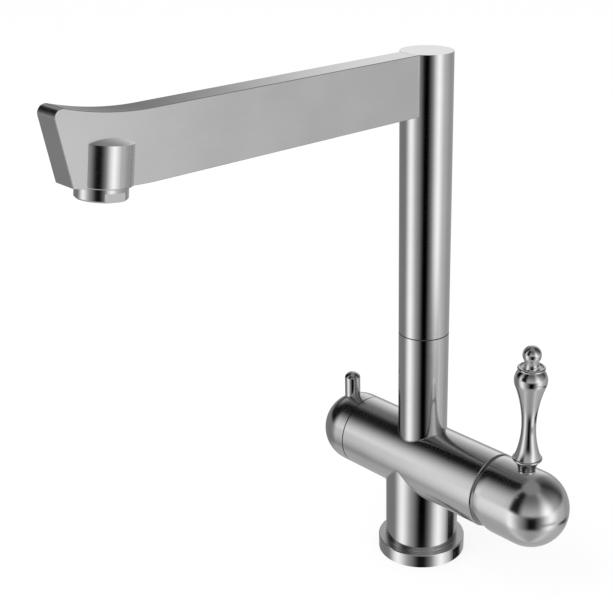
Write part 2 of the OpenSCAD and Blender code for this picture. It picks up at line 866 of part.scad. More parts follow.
module spout_column() {
    color("silver")
        difference() {
            translate([0, 0, spout_z])
                cylinder(h = column_top - spout_z, r = column_r);
            translate([0, 0, spout_z - past])
                cylinder(h = column_top - column_top_wall - spout_z + past, r = column_bore_r);
            translate([-channel_w / 2, -column_d, channel_bottom])
                cube([channel_w, column_d, channel_top - channel_bottom]);
            retaining_hole(screw_r + seat_fit);
        }
}

// The way of the retaining screw, at the back of the column
module retaining_hole(r) {
    translate([0, 0, screw_z])
        rotate([-90, 0, 0])
            cylinder(h = column_d, r = r);
}

module swivel_bush() {
    color("whitesmoke")
        difference() {
            translate([0, 0, spout_z])
                pipe(bush_l, column_bore_r - seat_fit, spigot_r + running_fit);
            retaining_hole(screw_r + seat_fit);
        }
}

module retaining_screw() {
    screw_l = column_r - screw_sunk - screw_tip_y;
    color("dimgray")
        translate([0, screw_tip_y, screw_z])
            rotate([-90, 0, 0])
                difference() {
                    cylinder(h = screw_l, r = screw_r);
                    translate([0, 0, screw_l - screw_r])
                        cylinder(h = screw_r + past, r = screw_r / 2, $fn = 6);
                }
}

// Side view of the spout bar, x away from the column's axis and y up
module bar_outline() {
    translate([0, bar_bottom])
        square([bar_straight, bar_h]);
    difference() {
        intersection() {
            difference() {
                translate(bend_centre)
                    circle(r = bend_out_r, $fn = 360);
                translate(bend_centre)
                    circle(r = bend_r, $fn = 360);
            }
            polygon([
                [bar_straight, bar_bottom - past],
                end_foot - past * end_dir,
                end_foot + 2 * bar_h * end_dir,
                [bar_straight, bend_centre[1]]
            ]);
        }
        difference() {
            polygon([tip_centre, tip_on_top, tip_corner, tip_on_end]);
            translate(tip_centre)
                circle(r = tip_r);
        }
    }
}

module spout_bar() {
    color("silver")
        difference() {
            translate([bar_t / 2, 0, 0])
                rotate([90, 0, -90])
                    linear_extrude(bar_t)
                        bar_outline();
            translate([0, 0, bar_bottom - past])
                cylinder(h = bar_h + 2 * past, r = column_r);
            translate([-channel_w / 2, -nozzle_out, channel_bottom])
                cube([channel_w, nozzle_out, channel_top - channel_bottom]);
            on_nozzle()
                rotate_extrude()
                    nozzle_section(-nozzle_d);
        }
}

// The half section of the nozzle's outside, from a foot up to its crown
module nozzle_section(foot, low = 0) {
    intersection() {
        translate([0, foot])
            ring_section(0, nozzle_r, nozzle_top - foot, low = low);
        translate([0, nozzle_top - crown_r])
            circle(r = crown_r, $fn = 360);
    }
}

module nozzle_housing() {
    color("silver")
        difference() {
            on_nozzle()
                rotate_extrude()
                    difference() {
                        nozzle_section(0, nozzle_edge);
                        translate([0, -past])
                            square([aerator_socket_r, aerator_socket_l + past]);
                        square([nozzle_chamber_r, chamber_top]);
                    }
            translate([-window_h / 2, -nozzle_out, tube_z - window_h / 2])
                cube([window_h, nozzle_d, window_h]);
        }
}

module aerator_housing() {
    color("silver")
        on_nozzle()
            difference() {
                rotate_extrude()
                    difference() {
                        union() {
                            square([aerator_thread_r, aerator_thread_l]);
                            translate([0, -aerator_collar_h])
                                polygon([
                                    [0, 0],
                                    [aerator_collar_r - aerator_bevel, 0],
                                    [aerator_collar_r, aerator_bevel],
                                    [aerator_collar_r, aerator_collar_h],
                                    [0, aerator_collar_h]
                                ]);
                        }
                        translate([0, -aerator_collar_h - past])
                            square([core_r + seat_fit, aerator_collar_h + aerator_socket_l]);
                    }
                for (side = [-1, 1])
                    translate([
                        side * (aerator_flats + aerator_collar_d) / 2 - aerator_collar_d / 2,
                        -aerator_collar_d / 2,
                        -aerator_collar_h - past
                    ])
                        cube([aerator_collar_d, aerator_collar_d, aerator_flat_h + past]);
            }
}

module aerator_gasket() {
    color("black")
        on_nozzle()
            translate([0, 0, aerator_thread_l])
                pipe(aerator_gasket_t, aerator_thread_r, nozzle_chamber_r - aerator_gasket_lip);
}

module aerator_core() {
    color("whitesmoke")
        on_nozzle()
            difference() {
                translate([0, 0, core_bottom])
                    cylinder(h = core_h, r = core_r);
                translate([0, 0, core_top - ferrule_seat])
                    cylinder(h = ferrule_seat + past, r = tube_r + ferrule_wall + seat_fit);
                translate([0, 0, core_bottom - past])
                    cylinder(h = core_h, r = filter_jet_r);
                for (ring = [0, 1], k = [1 : jet_counts[ring]])
                    rotate([0, 0, k * 360 / jet_counts[ring]])
                        translate([jet_rings[ring], 0, core_bottom - past])
                            cylinder(h = core_h + 2 * past, r = jet_r, $fn = 24);
            }
}

// The filtered water's way up the column, along the bar and down into the aerator
module spout_tube_way(r, end_r) {
    translate([0, 0, riser_tube_top + free_gap])
        cylinder(h = tube_z - tube_bend - riser_tube_top - free_gap, r = r);
    translate([0, -tube_bend, tube_z - tube_bend])
        rotate([0, -90, 0])
            rotate_extrude(angle = 90)
                tube_section(tube_bend, r);
    translate([0, elbow_y, tube_z])
        rotate([-90, 0, 0])
            cylinder(h = -tube_bend - elbow_y, r = r);
    translate([0, elbow_y, tube_z - nozzle_bend])
        mirror([0, 1, 0])
            rotate([0, -90, 0])
                rotate_extrude(angle = elbow_turn)
                    tube_section(nozzle_bend, r);
    on_nozzle()
        translate([0, 0, core_top - ferrule_seat])
            cylinder(h = elbow_end_s + ferrule_lap - core_top + ferrule_seat, r = end_r);
}

// The section of a bent tube, away from the bend's axis
module tube_section(bend, r) {
    translate([bend, 0])
        circle(r = r, $fn = 32);
}

module filter_spout_tube() {
    color("whitesmoke")
        difference() {
            union() {
                spout_tube_way(tube_r, tube_r + ferrule_wall);
                translate([0, 0, cup_z])
                    cylinder(h = cup_l, r = cup_r);
            }
            spout_tube_way(tube_bore_r, filter_jet_r + seat_fit);
            translate([0, 0, cup_z - past])
                cylinder(h = riser_tube_top + free_gap - cup_z + past, r = tube_r + running_fit);
            translate([0, 0, cup_seal_z - cup_seal_r - seat_fit])
                cylinder(h = 2 * (cup_seal_r + seat_fit), r = cup_seal_centre_r + cup_seal_r + seat_fit);
        }
}

module tube_seal() {
    color("black")
        translate([0, 0, cup_seal_z])
            rotate_extrude()
                translate([cup_seal_centre_r, 0])
                    circle(r = cup_seal_r, $fn = 32);
}

module cartridge_rotor() {
    color("whitesmoke")
        difference() {
            union() {
                barrel_rod(rotor_x, rotor_shoulder_x, rotor_flange_r);
                barrel_rod(rotor_x, rotor_top_x, rotor_r);
            }
            translate([rotor_x - past, -rail_w / 2 - free_gap, barrel_z - chamber_r])
                cube([past + rail_h, rail_w + 2 * free_gap, 2 * chamber_r]);
            translate([rotor_x - past, -slot_w / 2, barrel_z - slot_low])
                cube([rotor_top_x - rotor_x + 2 * past, slot_w, slot_low + slot_high]);
            pivot_hole(pivot_pin_r + seat_fit);
        }
}

// The way of the lever's pivot pin, across the rotor
module pivot_hole(r, l = 2 * (rotor_r + past)) {
    translate([pivot_x, -l / 2, barrel_z])
        rotate([-90, 0, 0])
            cylinder(h = l, r = r);
}

module lever_pivot_pin() {
    color("gray")
        pivot_hole(pivot_pin_r, 2 * (rotor_r - free_gap));
}

// Children on the slider's own axis, below the barrel's while the valve is shut
module on_slider(x) {
    translate([x, 0, barrel_z - slider_drop])
        rotate([0, 90, 0])
            children();
}

module sliding_ceramic_disc() {
    color("white")
        difference() {
            on_slider(sliding_disc_x)
                cylinder(h = sliding_disc_t, r = slider_r);
            on_slider(sliding_disc_x - past)
                cylinder(h = sliding_disc_t / 2 + past, r = disc_pocket_r);
        }
}

module disc_slider() {
    color("dimgray")
        difference() {
            union() {
                on_slider(slider_x)
                    cylinder(h = slider_t, r = slider_r);
                intersection() {
                    on_slider(slider_x)
                        cylinder(h = slider_t + rail_h, r = slider_r);
                    translate([slider_x, -rail_w / 2, barrel_z - 2 * slider_r])
                        cube([slider_t + rail_h, rail_w, 4 * slider_r]);
                }
            }
            barrel_rod(rail_top_x - pocket_depth, rail_top_x + past, pocket_r);
        }
}

module cartridge_spindle() {
    color("gray")
        difference() {
            union() {
                translate([pivot_x - spindle_tail, -spindle_w / 2, barrel_z - spindle_w / 2])
                    cube([handle_x - pivot_x + spindle_tail, spindle_w, spindle_w]);
                barrel_rod(ball_x, pivot_x, spindle_neck_r);
                translate([ball_x, 0, barrel_z])
                    sphere(r = spindle_ball_r, $fn = 48);
            }
            pivot_hole(pivot_pin_r + running_fit);
        }
}

module spindle_hub() {
    color("goldenrod")
        difference() {
            union() {
                barrel_rod(hub_x, hub_flange_x, hub_neck_r);
                barrel_rod(hub_flange_x, hub_flange_x + hub_flange_w, hub_r);
            }
            translate([hub_x - past, -spindle_w / 2 - seat_fit, barrel_z - spindle_w / 2 - seat_fit])
                cube([
                    handle_x - hub_x + past + seat_fit,
                    spindle_w + 2 * seat_fit,
                    spindle_w + 2 * seat_fit
                ]);
            translate([handle_x, 0, stud_bottom_z])
                cylinder(h = barrel_d, r = handle_stud_r + seat_fit);
        }
}

module mixer_cap() {
    color("silver")
        difference() {
            turned_on_barrel()
                difference() {
                    intersection() {
                        union() {
                            translate([0, cap_x])
                                square([barrel_r, mixer_dome_x - cap_x]);
                            translate([0, mixer_dome_x])
                                circle(r = barrel_r);
                        }
                        translate([0, cap_x])
                            square([barrel_r, mixer_dome_out + barrel_d]);
                    }
                    translate([0, pivot_x])
                        circle(r = cap_cup_r);
                    translate([0, cap_x - past])
                        square([cap_bore_r, mixer_dome_x - cap_x + past]);
                    translate([0, mixer_dome_x])
                        circle(r = cap_bore_r);
                }
            translate([0, barrel_d, barrel_z])
                rotate([90, 0, 0])
                    linear_extrude(2 * barrel_d)
                        polygon([
                            [cap_x - barrel_d, 0],
                            [cap_x, 0],
                            [cap_x + barrel_d * tan(rim_slant), -barrel_d],
                            [cap_x - barrel_d, -barrel_d]
                        ]);
            translate([handle_x, 0, handle_seat_z])
                cylinder(h = barrel_d, r = spotface_r);
            translate([handle_x, 0, barrel_z])
                cylinder(h = barrel_d, r = handle_stud_r + 2 * seat_fit);
        }
}

// The handle's half section from its seat up, made of squares and true arcs
module handle_profile() {
    bulb_in = bulb_r - bulb_arc_r;
    waist_run = waist_r - bulb_in;
    waist_rise = bulb_up - waist_up;
    upper_arc_r = (waist_run * waist_run + waist_rise * waist_rise - bulb_arc_r * bulb_arc_r)
        / (2 * (bulb_arc_r - waist_run));
    join_up = bulb_up - waist_rise * bulb_arc_r / (upper_arc_r + bulb_arc_r);
    ring_top = ring_up + ring_edge;
    lower_run = ring_r - ring_edge - waist_r;
    lower_rise = waist_up - ring_top;
    lower_arc_r = (lower_run * lower_run + lower_rise * lower_rise) / (2 * lower_run);
    neck_low = [foot_r - neck_step, 2 * foot_edge];
    neck_high = [ring_r - ring_edge, ring_up - ring_edge];
    neck_half = (neck_high - neck_low) / 2;
    neck_away = sqrt(neck_arc_r * neck_arc_r - neck_half * neck_half) / norm(neck_half);
    neck_centre = neck_low + neck_half + neck_away * [neck_half[1], -neck_half[0]];
    ball_up = handle_h - ball_r;
    // foot bead
    square([foot_r - foot_edge, 2 * foot_edge]);
    translate([foot_r - foot_edge, foot_edge])
        circle(r = foot_edge, $fn = 48);
    // cup under the ring
    difference() {
        translate([0, neck_low[1] - past])
            square([neck_high[0], neck_high[1] - neck_low[1] + past]);
        translate(neck_centre)
            circle(r = neck_arc_r, $fn = 180);
        translate([neck_low[0], 0])
            square([ring_r, neck_low[1]]);
    }
    // ring
    translate([0, ring_up - ring_edge])
        square([ring_r - ring_edge, 2 * ring_edge]);
    translate([ring_r - ring_edge, ring_up])
        circle(r = ring_edge, $fn = 48);
    // waist, in two arcs that share its narrowest place
    difference() {
        translate([0, ring_top])
            square([ring_r - ring_edge, lower_rise]);
        translate([waist_r + lower_arc_r, waist_up])
            circle(r = lower_arc_r, $fn = 180);
    }
    difference() {
        translate([0, waist_up])
            square([bulb_r, join_up - waist_up]);
        translate([waist_r + upper_arc_r, waist_up])
            circle(r = upper_arc_r, $fn = 180);
    }
    // bulb
    intersection() {
        translate([bulb_in, bulb_up])
            circle(r = bulb_arc_r);
        translate([0, join_up - past])
            square([bulb_r + past, lip_up - join_up + past]);
    }
    translate([0, join_up - past])
        square([bulb_in + past, lip_up - join_up + past]);
    // lip
    translate([0, lip_up - lip_edge])
        square([lip_r - lip_edge, 2 * lip_edge]);
    translate([lip_r - lip_edge, lip_up])
        circle(r = lip_edge, $fn = 48);
    // neck and ball
    translate([0, lip_up])
        square([ball_neck_r, ball_up - lip_up]);
    intersection() {
        translate([0, ball_up])
            circle(r = ball_r);
        translate([0, lip_up])
            square([ball_r, handle_h]);
    }
}

module lever_handle() {
    color("silver")
        translate([handle_x, 0, handle_seat_z])
            rotate_extrude()
                difference() {
                    handle_profile();
                    translate([0, -past])
                        square([handle_stud_r + seat_fit, stud_in_handle + past + seat_fit]);
                }
}

module handle_stud() {
    color("gray")
        translate([handle_x, 0, stud_bottom_z])
            cylinder(h = handle_seat_z + stud_in_handle - stud_bottom_z, r = handle_stud_r);
}

module filter_spindle() {
    color("gray") {
        barrel_rod(filter_spindle_x, spindle_foot_x, filter_spindle_r);
        barrel_rod(spindle_foot_x - spindle_foot_t, spindle_foot_x, headwork_chamber_r - free_gap);
    }
}

module filter_cap() {
    color("silver")
        difference() {
            turned_on_barrel()
                intersection() {
                    difference() {
                        union() {
                            translate([0, filter_dome_x])
                                square([barrel_r, filter_cap_l]);
                            translate([0, filter_dome_x])
                                circle(r = barrel_r);
                        }
                        difference() {
                            union() {
                                translate([0, filter_dome_x])
                                    square([cap_bore_r, filter_cap_l + past]);
                                translate([0, filter_dome_x])
                                    circle(r = cap_bore_r);
                            }
                            translate([0, filter_dome_x - barrel_r])
                                square([boss_r, boss_x - filter_dome_x + barrel_r]);
                        }
                        translate([0, filter_spindle_x - seat_fit])
                            square([filter_spindle_r + seat_fit, barrel_d]);
                    }
                    translate([0, filter_dome_x - barrel_r])
                        square([barrel_r, barrel_r + filter_cap_l]);
                }
            translate([pin_x, 0, pin_seat_z])
                cylinder(h = barrel_d, r = pin_spigot_r + seat_fit);
            translate([grub_x, 0, barrel_z - barrel_d])
                cylinder(h = barrel_d, r = grub_r + seat_fit);
        }
}

module filter_cap_screw() {
    color("dimgray")
        translate([grub_x, 0, barrel_z - boss_r])
            difference() {
                cylinder(h = boss_r - filter_spindle_r - seat_fit, r = grub_r);
                translate([0, 0, -past])
                    cylinder(h = grub_r + past, r = grub_r / 2, $fn = 6);
            }
}

module filter_pin() {
    dome_r = (pin_r * pin_r + pin_dome * pin_dome) / (2 * pin_dome);
    color("silver") {
        difference() {
            translate([pin_x, 0, barrel_z])
                rotate_extrude()
                    intersection() {
                        square([pin_r, pin_up]);
                        union() {
                            square([pin_r, pin_up - pin_dome]);
                            translate([0, pin_up - dome_r])
                                circle(r = dome_r);
                        }
                    }
            translate([filter_dome_x, 0, barrel_z])
                sphere(r = barrel_r);
        }
        translate([pin_x, 0, pin_seat_z + seat_fit])
            cylinder(h = barrel_r - filter_spindle_r, r = pin_spigot_r);
    }
}

base_flange();
base_gasket();
inlet_manifold();
lower_pillar();
hot_feed_pipe();
cold_feed_pipe();
filter_feed_pipe();
barrel();
valve_block();
riser();
swivel_spigot();
spigot_o_rings();
slide_ring();
filter_riser_tube();
cartridge_base();
cartridge_port_seals();
cartridge_housing();
fixed_ceramic_disc();
cartridge_nut();
filter_headwork();
headwork_seal();
filter_fixed_disc();
spout_column();
swivel_bush();
retaining_screw();
spout_bar();
nozzle_housing();
aerator_housing();
aerator_gasket();
aerator_core();
filter_spout_tube();
tube_seal();
cartridge_rotor();
lever_pivot_pin();
sliding_ceramic_disc();
disc_slider();
cartridge_spindle();
spindle_hub();
mixer_cap();
lever_handle();
handle_stud();
filter_spindle();
filter_rotating_disc();
filter_cap();
filter_cap_screw();
filter_pin();
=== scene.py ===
# %% [markdown]
# # A kitchen tap for mixed and filtered water
# The tap is polished steel tube: a pillar on a flange, a barrel welded across it, and a spout that swivels.
# One end of the barrel carries the mixer lever, and the other end a small pin for filtered water.
# The solids come from the packed model, which is also what moves.
# This lesson adds what solids lack: soft edges, welds, threads and finishes.

# %% Load the solids
import json
import math

import bmesh
import bpy
from mathutils import Matrix, Vector


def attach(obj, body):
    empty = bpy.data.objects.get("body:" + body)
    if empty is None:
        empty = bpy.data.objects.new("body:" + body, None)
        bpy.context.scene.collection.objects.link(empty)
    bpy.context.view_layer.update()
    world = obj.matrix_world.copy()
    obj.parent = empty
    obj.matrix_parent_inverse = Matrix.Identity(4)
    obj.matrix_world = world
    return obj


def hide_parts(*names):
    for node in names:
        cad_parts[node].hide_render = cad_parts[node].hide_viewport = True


MM = 0.001
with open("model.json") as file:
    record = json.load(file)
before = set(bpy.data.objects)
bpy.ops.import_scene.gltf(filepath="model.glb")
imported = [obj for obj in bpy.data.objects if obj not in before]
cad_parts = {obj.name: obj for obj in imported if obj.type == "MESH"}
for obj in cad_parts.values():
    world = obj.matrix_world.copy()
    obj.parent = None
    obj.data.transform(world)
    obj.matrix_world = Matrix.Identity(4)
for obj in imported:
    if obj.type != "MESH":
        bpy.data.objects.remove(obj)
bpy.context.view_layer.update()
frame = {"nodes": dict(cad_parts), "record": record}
nodes = frame["nodes"]
slot_of = {row["node"]: row["material_slot"] for row in frame["record"]["subparts"]}
scene = bpy.context.scene

# %% [markdown]
# ## Camera
# A camera can be placed by eye, or solved from edges of the object whose places are known, as this one was.
# It stands in front of the tap and to the mixer's side, and looks down by about 22 degrees.
# The tap isn't in the middle of the picture, so the picture is shifted sideways.

# %% Camera
VIEW_TURN = math.radians(44.859)
VIEW_RISE = math.radians(21.923)
VIEW_DISTANCE = 732.09 * MM
PHOTO_WIDTH = 613
FOCAL_PIXELS = 1241.05
SHIFT_PIXELS = 81.04
AIM_HEIGHT = 167.97 * MM
AIM_SIDE = -21.58 * MM
SENSOR = 36
NEAREST = 0.01

UP = Vector((0, 0, 1))
to_front = Vector((math.sin(VIEW_TURN), -math.cos(VIEW_TURN), 0))
to_side = Vector((math.cos(VIEW_TURN), math.sin(VIEW_TURN), 0))
to_camera = to_front * math.cos(VIEW_RISE) + UP * math.sin(VIEW_RISE)
camera = bpy.data.objects.new("camera", bpy.data.cameras.new("camera"))
scene.collection.objects.link(camera)
camera.location = UP * AIM_HEIGHT + to_side * AIM_SIDE + to_camera * VIEW_DISTANCE
camera.rotation_euler = to_camera.to_track_quat("Z", "Y").to_euler()
camera.data.sensor_width = SENSOR
camera.data.lens = SENSOR * FOCAL_PIXELS / PHOTO_WIDTH
camera.data.shift_x = -SHIFT_PIXELS / PHOTO_WIDTH
camera.data.clip_start = NEAREST
scene.camera = camera
print("camera at", [round(v, 3) for v in camera.location], "lens", round(camera.data.lens, 2))

# %% [markdown]
# ## Node maths as Python
# Node trees can be drawn by hand, but sums are easier to read as Python expressions.
# A Wire holds one socket, and each operator on it adds one Math node.
# A Board is the tree itself, and its add method makes any other node.

# %% Wires
class Wire:
    """One output socket, whose sums become Math nodes."""

    def __init__(self, board, socket):
        self.board = board
        self.socket = socket

    def __add__(self, other):
        return self.board.sum("ADD", self, other)

    def __radd__(self, other):
        return self.board.sum("ADD", other, self)

    def __sub__(self, other):
        return self.board.sum("SUBTRACT", self, other)

    def __rsub__(self, other):
        return self.board.sum("SUBTRACT", other, self)

    def __mul__(self, other):
        return self.board.sum("MULTIPLY", self, other)

    def __rmul__(self, other):
        return self.board.sum("MULTIPLY", other, self)

    def __truediv__(self, other):
        return self.board.sum("DIVIDE", self, other)

    def __rtruediv__(self, other):
        return self.board.sum("DIVIDE", other, self)

    def __mod__(self, other):
        return self.board.sum("MODULO", self, other)

    def __rmod__(self, other):
        return self.board.sum("MODULO", other, self)

    def __abs__(self):
        return self.board.sum("ABSOLUTE", self)

    def root(self):
        return self.board.sum("SQRT", self)

    def floor(self):
        return self.board.sum("FLOOR", self)

    def at_most(self, other):
        return self.board.sum("MINIMUM", self, other)

    def rise(self, low, high):
        """0 up to low, 1 from high, and a smooth step between them."""
        return self.board.add(
            "ShaderNodeMapRange",
            {"interpolation_type": "SMOOTHSTEP"},
            {"Value": self, "From Min": low, "From Max": high},
        )


print("sums of a wire beside the operators:", [name for name in vars(Wire) if not name.startswith("_")])

# %% Boards
class Board:
    """A node tree that is filled from Python."""

    def __init__(self, tree):
        self.tree = tree

    def add(self, kind, settings=None, inputs=None, out=0):
        """Adds a node: its settings first, then a link or a value for each socket; gives one output."""
        node = self.tree.nodes.new(kind)
        for key, value in (settings or {}).items():
            setattr(node, key, value)
        for key, value in (inputs or {}).items():
            if isinstance(value, Wire):
                self.tree.links.new(value.socket, node.inputs[key])
            else:
                node.inputs[key].default_value = value
        return Wire(self, node.outputs[out]) if node.outputs else None

    def sum(self, operation, *values):
        return self.add("ShaderNodeMath", {"operation": operation}, dict(enumerate(values)))

    def dot(self, vector, axis):
        """How far a vector reaches along an axis."""
        settings = {"operation": "DOT_PRODUCT"}
        return self.add("ShaderNodeVectorMath", settings, {0: vector, 1: axis}, out="Value")

    def split(self, vector):
        first = self.add("ShaderNodeSeparateXYZ", None, {"Vector": vector})
        return [Wire(self, socket) for socket in first.socket.node.outputs]

    def join(self, x, y, z):
        return self.add("ShaderNodeCombineXYZ", None, {"X": x, "Y": y, "Z": z})

    def noise(self, vector, scale, detail):
        return self.add("ShaderNodeTexNoise", None, {"Vector": vector, "Scale": scale, "Detail": detail})

    def blend(self, factor, first, second):
        """A colour between two tints."""
        node = self.tree.nodes.new("ShaderNodeMix")
        node.data_type = "RGBA"
        sockets = {socket.identifier: socket for socket in node.inputs}
        self.tree.links.new(factor.socket, sockets["Factor_Float"])
        sockets["A_Color"].default_value = (*first, 1)
        sockets["B_Color"].default_value = (*second, 1)
        results = {socket.identifier: socket for socket in node.outputs}
        return Wire(self, results["Result_Color"])


def fresh_board(owner):
    """Empties the node tree of a material or a world and wraps it."""
    owner.use_nodes = True
    owner.node_tree.nodes.clear()
    return Board(owner.node_tree)


print("boards ready for materials, the world and geometry")

# %% [markdown]
# ## Studio
# Polished steel shows nothing but its surroundings, so the studio makes the look.
# A photographer lights chrome with tall soft boxes and leaves dark gaps between them.
# The boxes draw the bright stripes on each tube, and the gaps draw the black ones.
# Lamps or cards could do this too, but a world that follows the direction alone keeps the room empty.

# %% Soft boxes
class Studio:
    """Soft boxes and dark gaps, each as (degrees right of the camera, half width, softness, strength)."""

    def __init__(self, plain, boxes=(), gaps=()):
        self.plain = plain
        self.boxes = boxes
        self.gaps = gaps

    def light(self, turn):
        """The light that comes from a turn, in radians right of the camera."""
        def patch(centre, half, soft):
            off = abs(turn - math.radians(centre))
            off = off.at_most(2 * math.pi - off)
            return 1 - off.rise(math.radians(half - soft), math.radians(half + soft))

        total = self.plain
        for *place, strength in self.boxes:
            total = total + strength * patch(*place)
        for *place, strength in self.gaps:
            total = total * (1 - strength * patch(*place))
        return total


# Upright tubes and the nozzle show the lower half of the studio, seen past the deck.
SIDES = Studio(
    plain=0.43,
    boxes=((-68, 16, 18, 0.95), (54, 15, 19, 1.05), (88, 16, 16, 0.2)),
    gaps=((-1.5, 23, 18, 1.0), (-128, 36, 18, 0.4)),
)
# The barrel, the domes and all flat tops show the upper half.
DOMES = Studio(
    plain=0.58,
    boxes=((44, 14, 15, 1.05), (-84, 14, 8, 0.6), (172, 16, 8, 0.45)),
    gaps=((-55, 19, 11, 1.0), (-118, 24, 14, 1.0), (112, 22, 26, 0.87)),
)
# Three gaps of small height dim the riser's bright stripe, the pillar's right edge and the bar's top.
SHELF = Studio(plain=1.0, gaps=((48, 23, 10, 0.55),))
FOOT_GAP = Studio(plain=1.0, gaps=((108, 20, 10, 1.0),))
FAR_WALL = Studio(plain=1.0, gaps=((-150, 23, 8, 0.85),))
studios = (SIDES, DOMES, SHELF, FOOT_GAP, FAR_WALL)
print("soft boxes:", sum(len(part.boxes) for part in studios))
print("dark gaps:", sum(len(part.gaps) for part in studios))

# %% [markdown]
# ## World
# The studio's halves are laid over each other by height: the upward part of a direction, from -1 to 1.
# Only mirror rays see it. The camera and matt surfaces see plain white, so the light on the tap stays even.

# %% World
# Each pair holds the heights between which one light goes over into another.
LEVEL = (-0.05, 0.12)
ROOF = (0.88, 0.96)
ROOF_LIGHT = 0.3
GROUND = (-0.74, -0.56)
GROUND_LIGHT = 0.6
GROUND_SHARE = 0.75
FALL = (0.1, 0.85)
FALL_SHARE = 0.72
WALL_TOP = (0.24, 0.4)
SHELF_LOW = (-0.5, -0.475)
SHELF_TOP = (-0.42, -0.34)
FOOT_LOW = (-0.6, -0.57)
FOOT_TOP = (-0.52, -0.49)


def mixed(first, second, share):
    """Goes from the first light to the second as the share goes from 0 to 1."""
    return first * (1 - share) + second * share


def lit_world():
    """Lays out the light for mirror rays by direction alone, and gives the number of nodes."""
    world = bpy.data.worlds.new("studio")
    scene.world = world
    board = fresh_board(world)
    way = board.add("ShaderNodeTexCoord", out="Generated")
    turn = board.sum("ARCTAN2", board.dot(way, to_side), board.dot(way, to_front))
    height = board.split(way)[2]
    shelf = height.rise(*SHELF_LOW) * (1 - height.rise(*SHELF_TOP))
    foot = height.rise(*FOOT_LOW) * (1 - height.rise(*FOOT_TOP))
    lower = SIDES.light(turn) * mixed(1, SHELF.light(turn), shelf) * mixed(1, FOOT_GAP.light(turn), foot)
    lower = mixed(lower, GROUND_LIGHT, GROUND_SHARE * (1 - height.rise(*GROUND)))
    upper = DOMES.light(turn) * (1 - FALL_SHARE * height.rise(*FALL))
    upper = upper * mixed(1, FAR_WALL.light(turn), 1 - height.rise(*WALL_TOP))
    upper = mixed(upper, ROOF_LIGHT, height.rise(*ROOF))
    shine = mixed(lower, upper, height.rise(*LEVEL))
    mirror = board.add("ShaderNodeLightPath", out="Is Glossy Ray")
    light = board.add("ShaderNodeBackground", None, {"Color": mixed(1, shine, mirror)})
    board.add("ShaderNodeOutputWorld", None, {"Surface": light})
    return len(world.node_tree.nodes)


scene.view_settings.view_transform = "Standard"
print("world nodes:", lit_world())

# %% [markdown]
# ## Floor and lamp
# The floor is nearly white by itself and takes a weak share of the lamp's light.
# The tap therefore still throws a soft shadow, and the picture stays pale to its edges.
# Mirror rays pass through the floor and the lamp, because the world already holds what the steel shows.

# %% Floor
FLOOR_HALF = 6
FLOOR_DROP = 0.2 * MM
FLOOR_GLOW = 0.82
FLOOR_TONE = 0.17


def floor_finish():
    """A glow that is nearly white, with a weak matt share that takes the shadow."""
    material = bpy.data.materials.new("pale_floor")
    board = fresh_board(material)
    glow = board.add("ShaderNodeEmission", None, {"Strength": FLOOR_GLOW})
    matt = board.add("ShaderNodeBsdfDiffuse", None, {"Color": (FLOOR_TONE, FLOOR_TONE, FLOOR_TONE, 1)})
    both = board.add("ShaderNodeAddShader", None, {0: glow, 1: matt})
    board.add("ShaderNodeOutputMaterial", None, {"Surface": both})
    return material


signs = ((-1, -1), (1, -1), (1, 1), (-1, 1))
mesh = bpy.data.meshes.new("floor")
mesh.from_pydata([(x * FLOOR_HALF, y * FLOOR_HALF, -FLOOR_DROP) for x, y in signs], [], [(0, 1, 2, 3)])
mesh.materials.append(floor_finish())
floor = bpy.data.objects.new("floor", mesh)
scene.collection.objects.link(floor)
floor.visible_glossy = False
print("floor", FLOOR_HALF * 2, "m wide")

# %% Lamp
LAMP_SIZE = 0.9
LAMP_POWER = 9
LAMP_PLACE = UP * 1.1 + to_front * 0.5 - to_side * 0.7
LAMP_AIM = UP * 0.15

lamp = bpy.data.objects.new("soft_lamp", bpy.data.lights.new("soft_lamp", "AREA"))
lamp.data.size = LAMP_SIZE
lamp.data.energy = LAMP_POWER
lamp.location = LAMP_PLACE
lamp.rotation_euler = (LAMP_PLACE - LAMP_AIM).to_track_quat("Z", "Y").to_euler()
lamp.visible_glossy = False
scene.collection.objects.link(lamp)
print("lamp", lamp.data.energy, "W,", round(LAMP_PLACE.length, 2), "m away")

# %% [markdown]
# ## Marks on steel
# Each finish reads the place on the piece, so its marks are as large as on the real thing.
# Turned and polished tube has very fine rings round its axis, and a brushed bar has fine straight lines.
# Stretched noise gives both: it changes slowly along a mark and fast across it.

# %% Marks on steel
RING_SCALE = 4200
RING_DRIFT = 30
BRUSH_SCALE = 5200
BRUSH_DRIFT = 45


def rings_about(axis, centre):
    """Fine marks round an axis: they follow the place along it and the distance from it."""
    def marks(board, place):
        parts = {name: part - middle for name, part, middle in zip("xyz", board.split(place), centre)}
        ahead = parts.pop(axis)
        first, second = parts.values()
        away = (first * first + second * second).root()
        stretched = board.join(ahead * RING_SCALE, away * RING_SCALE, first * RING_DRIFT)
        return board.noise(stretched, scale=1.0, detail=1.0)
    return marks


def lines_along_bar(board, place):
    """Straight brushing along the bar: long in y, and fine across it."""
    x, y, z = board.split(place)
    stretched = board.join(x * BRUSH_SCALE, y * BRUSH_DRIFT, z * BRUSH_SCALE)
    return board.noise(stretched, scale=1.0, detail=2.0)


print("ring marks:", round(1 / RING_SCALE / MM, 2), "mm, brush marks:", round(1 / BRUSH_SCALE / MM, 2), "mm")

# %% [markdown]
# ## Steel
# A flat grey metal looks like paint. Real polished steel has a faint cloud of wiping marks, and hairlines.
# They change the roughness a little and bend the mirror image by a trace, and the eye reads that as steel.
# The flange's top and the nozzle's crown were left matt by the polishing wheel, so roughness rises there.

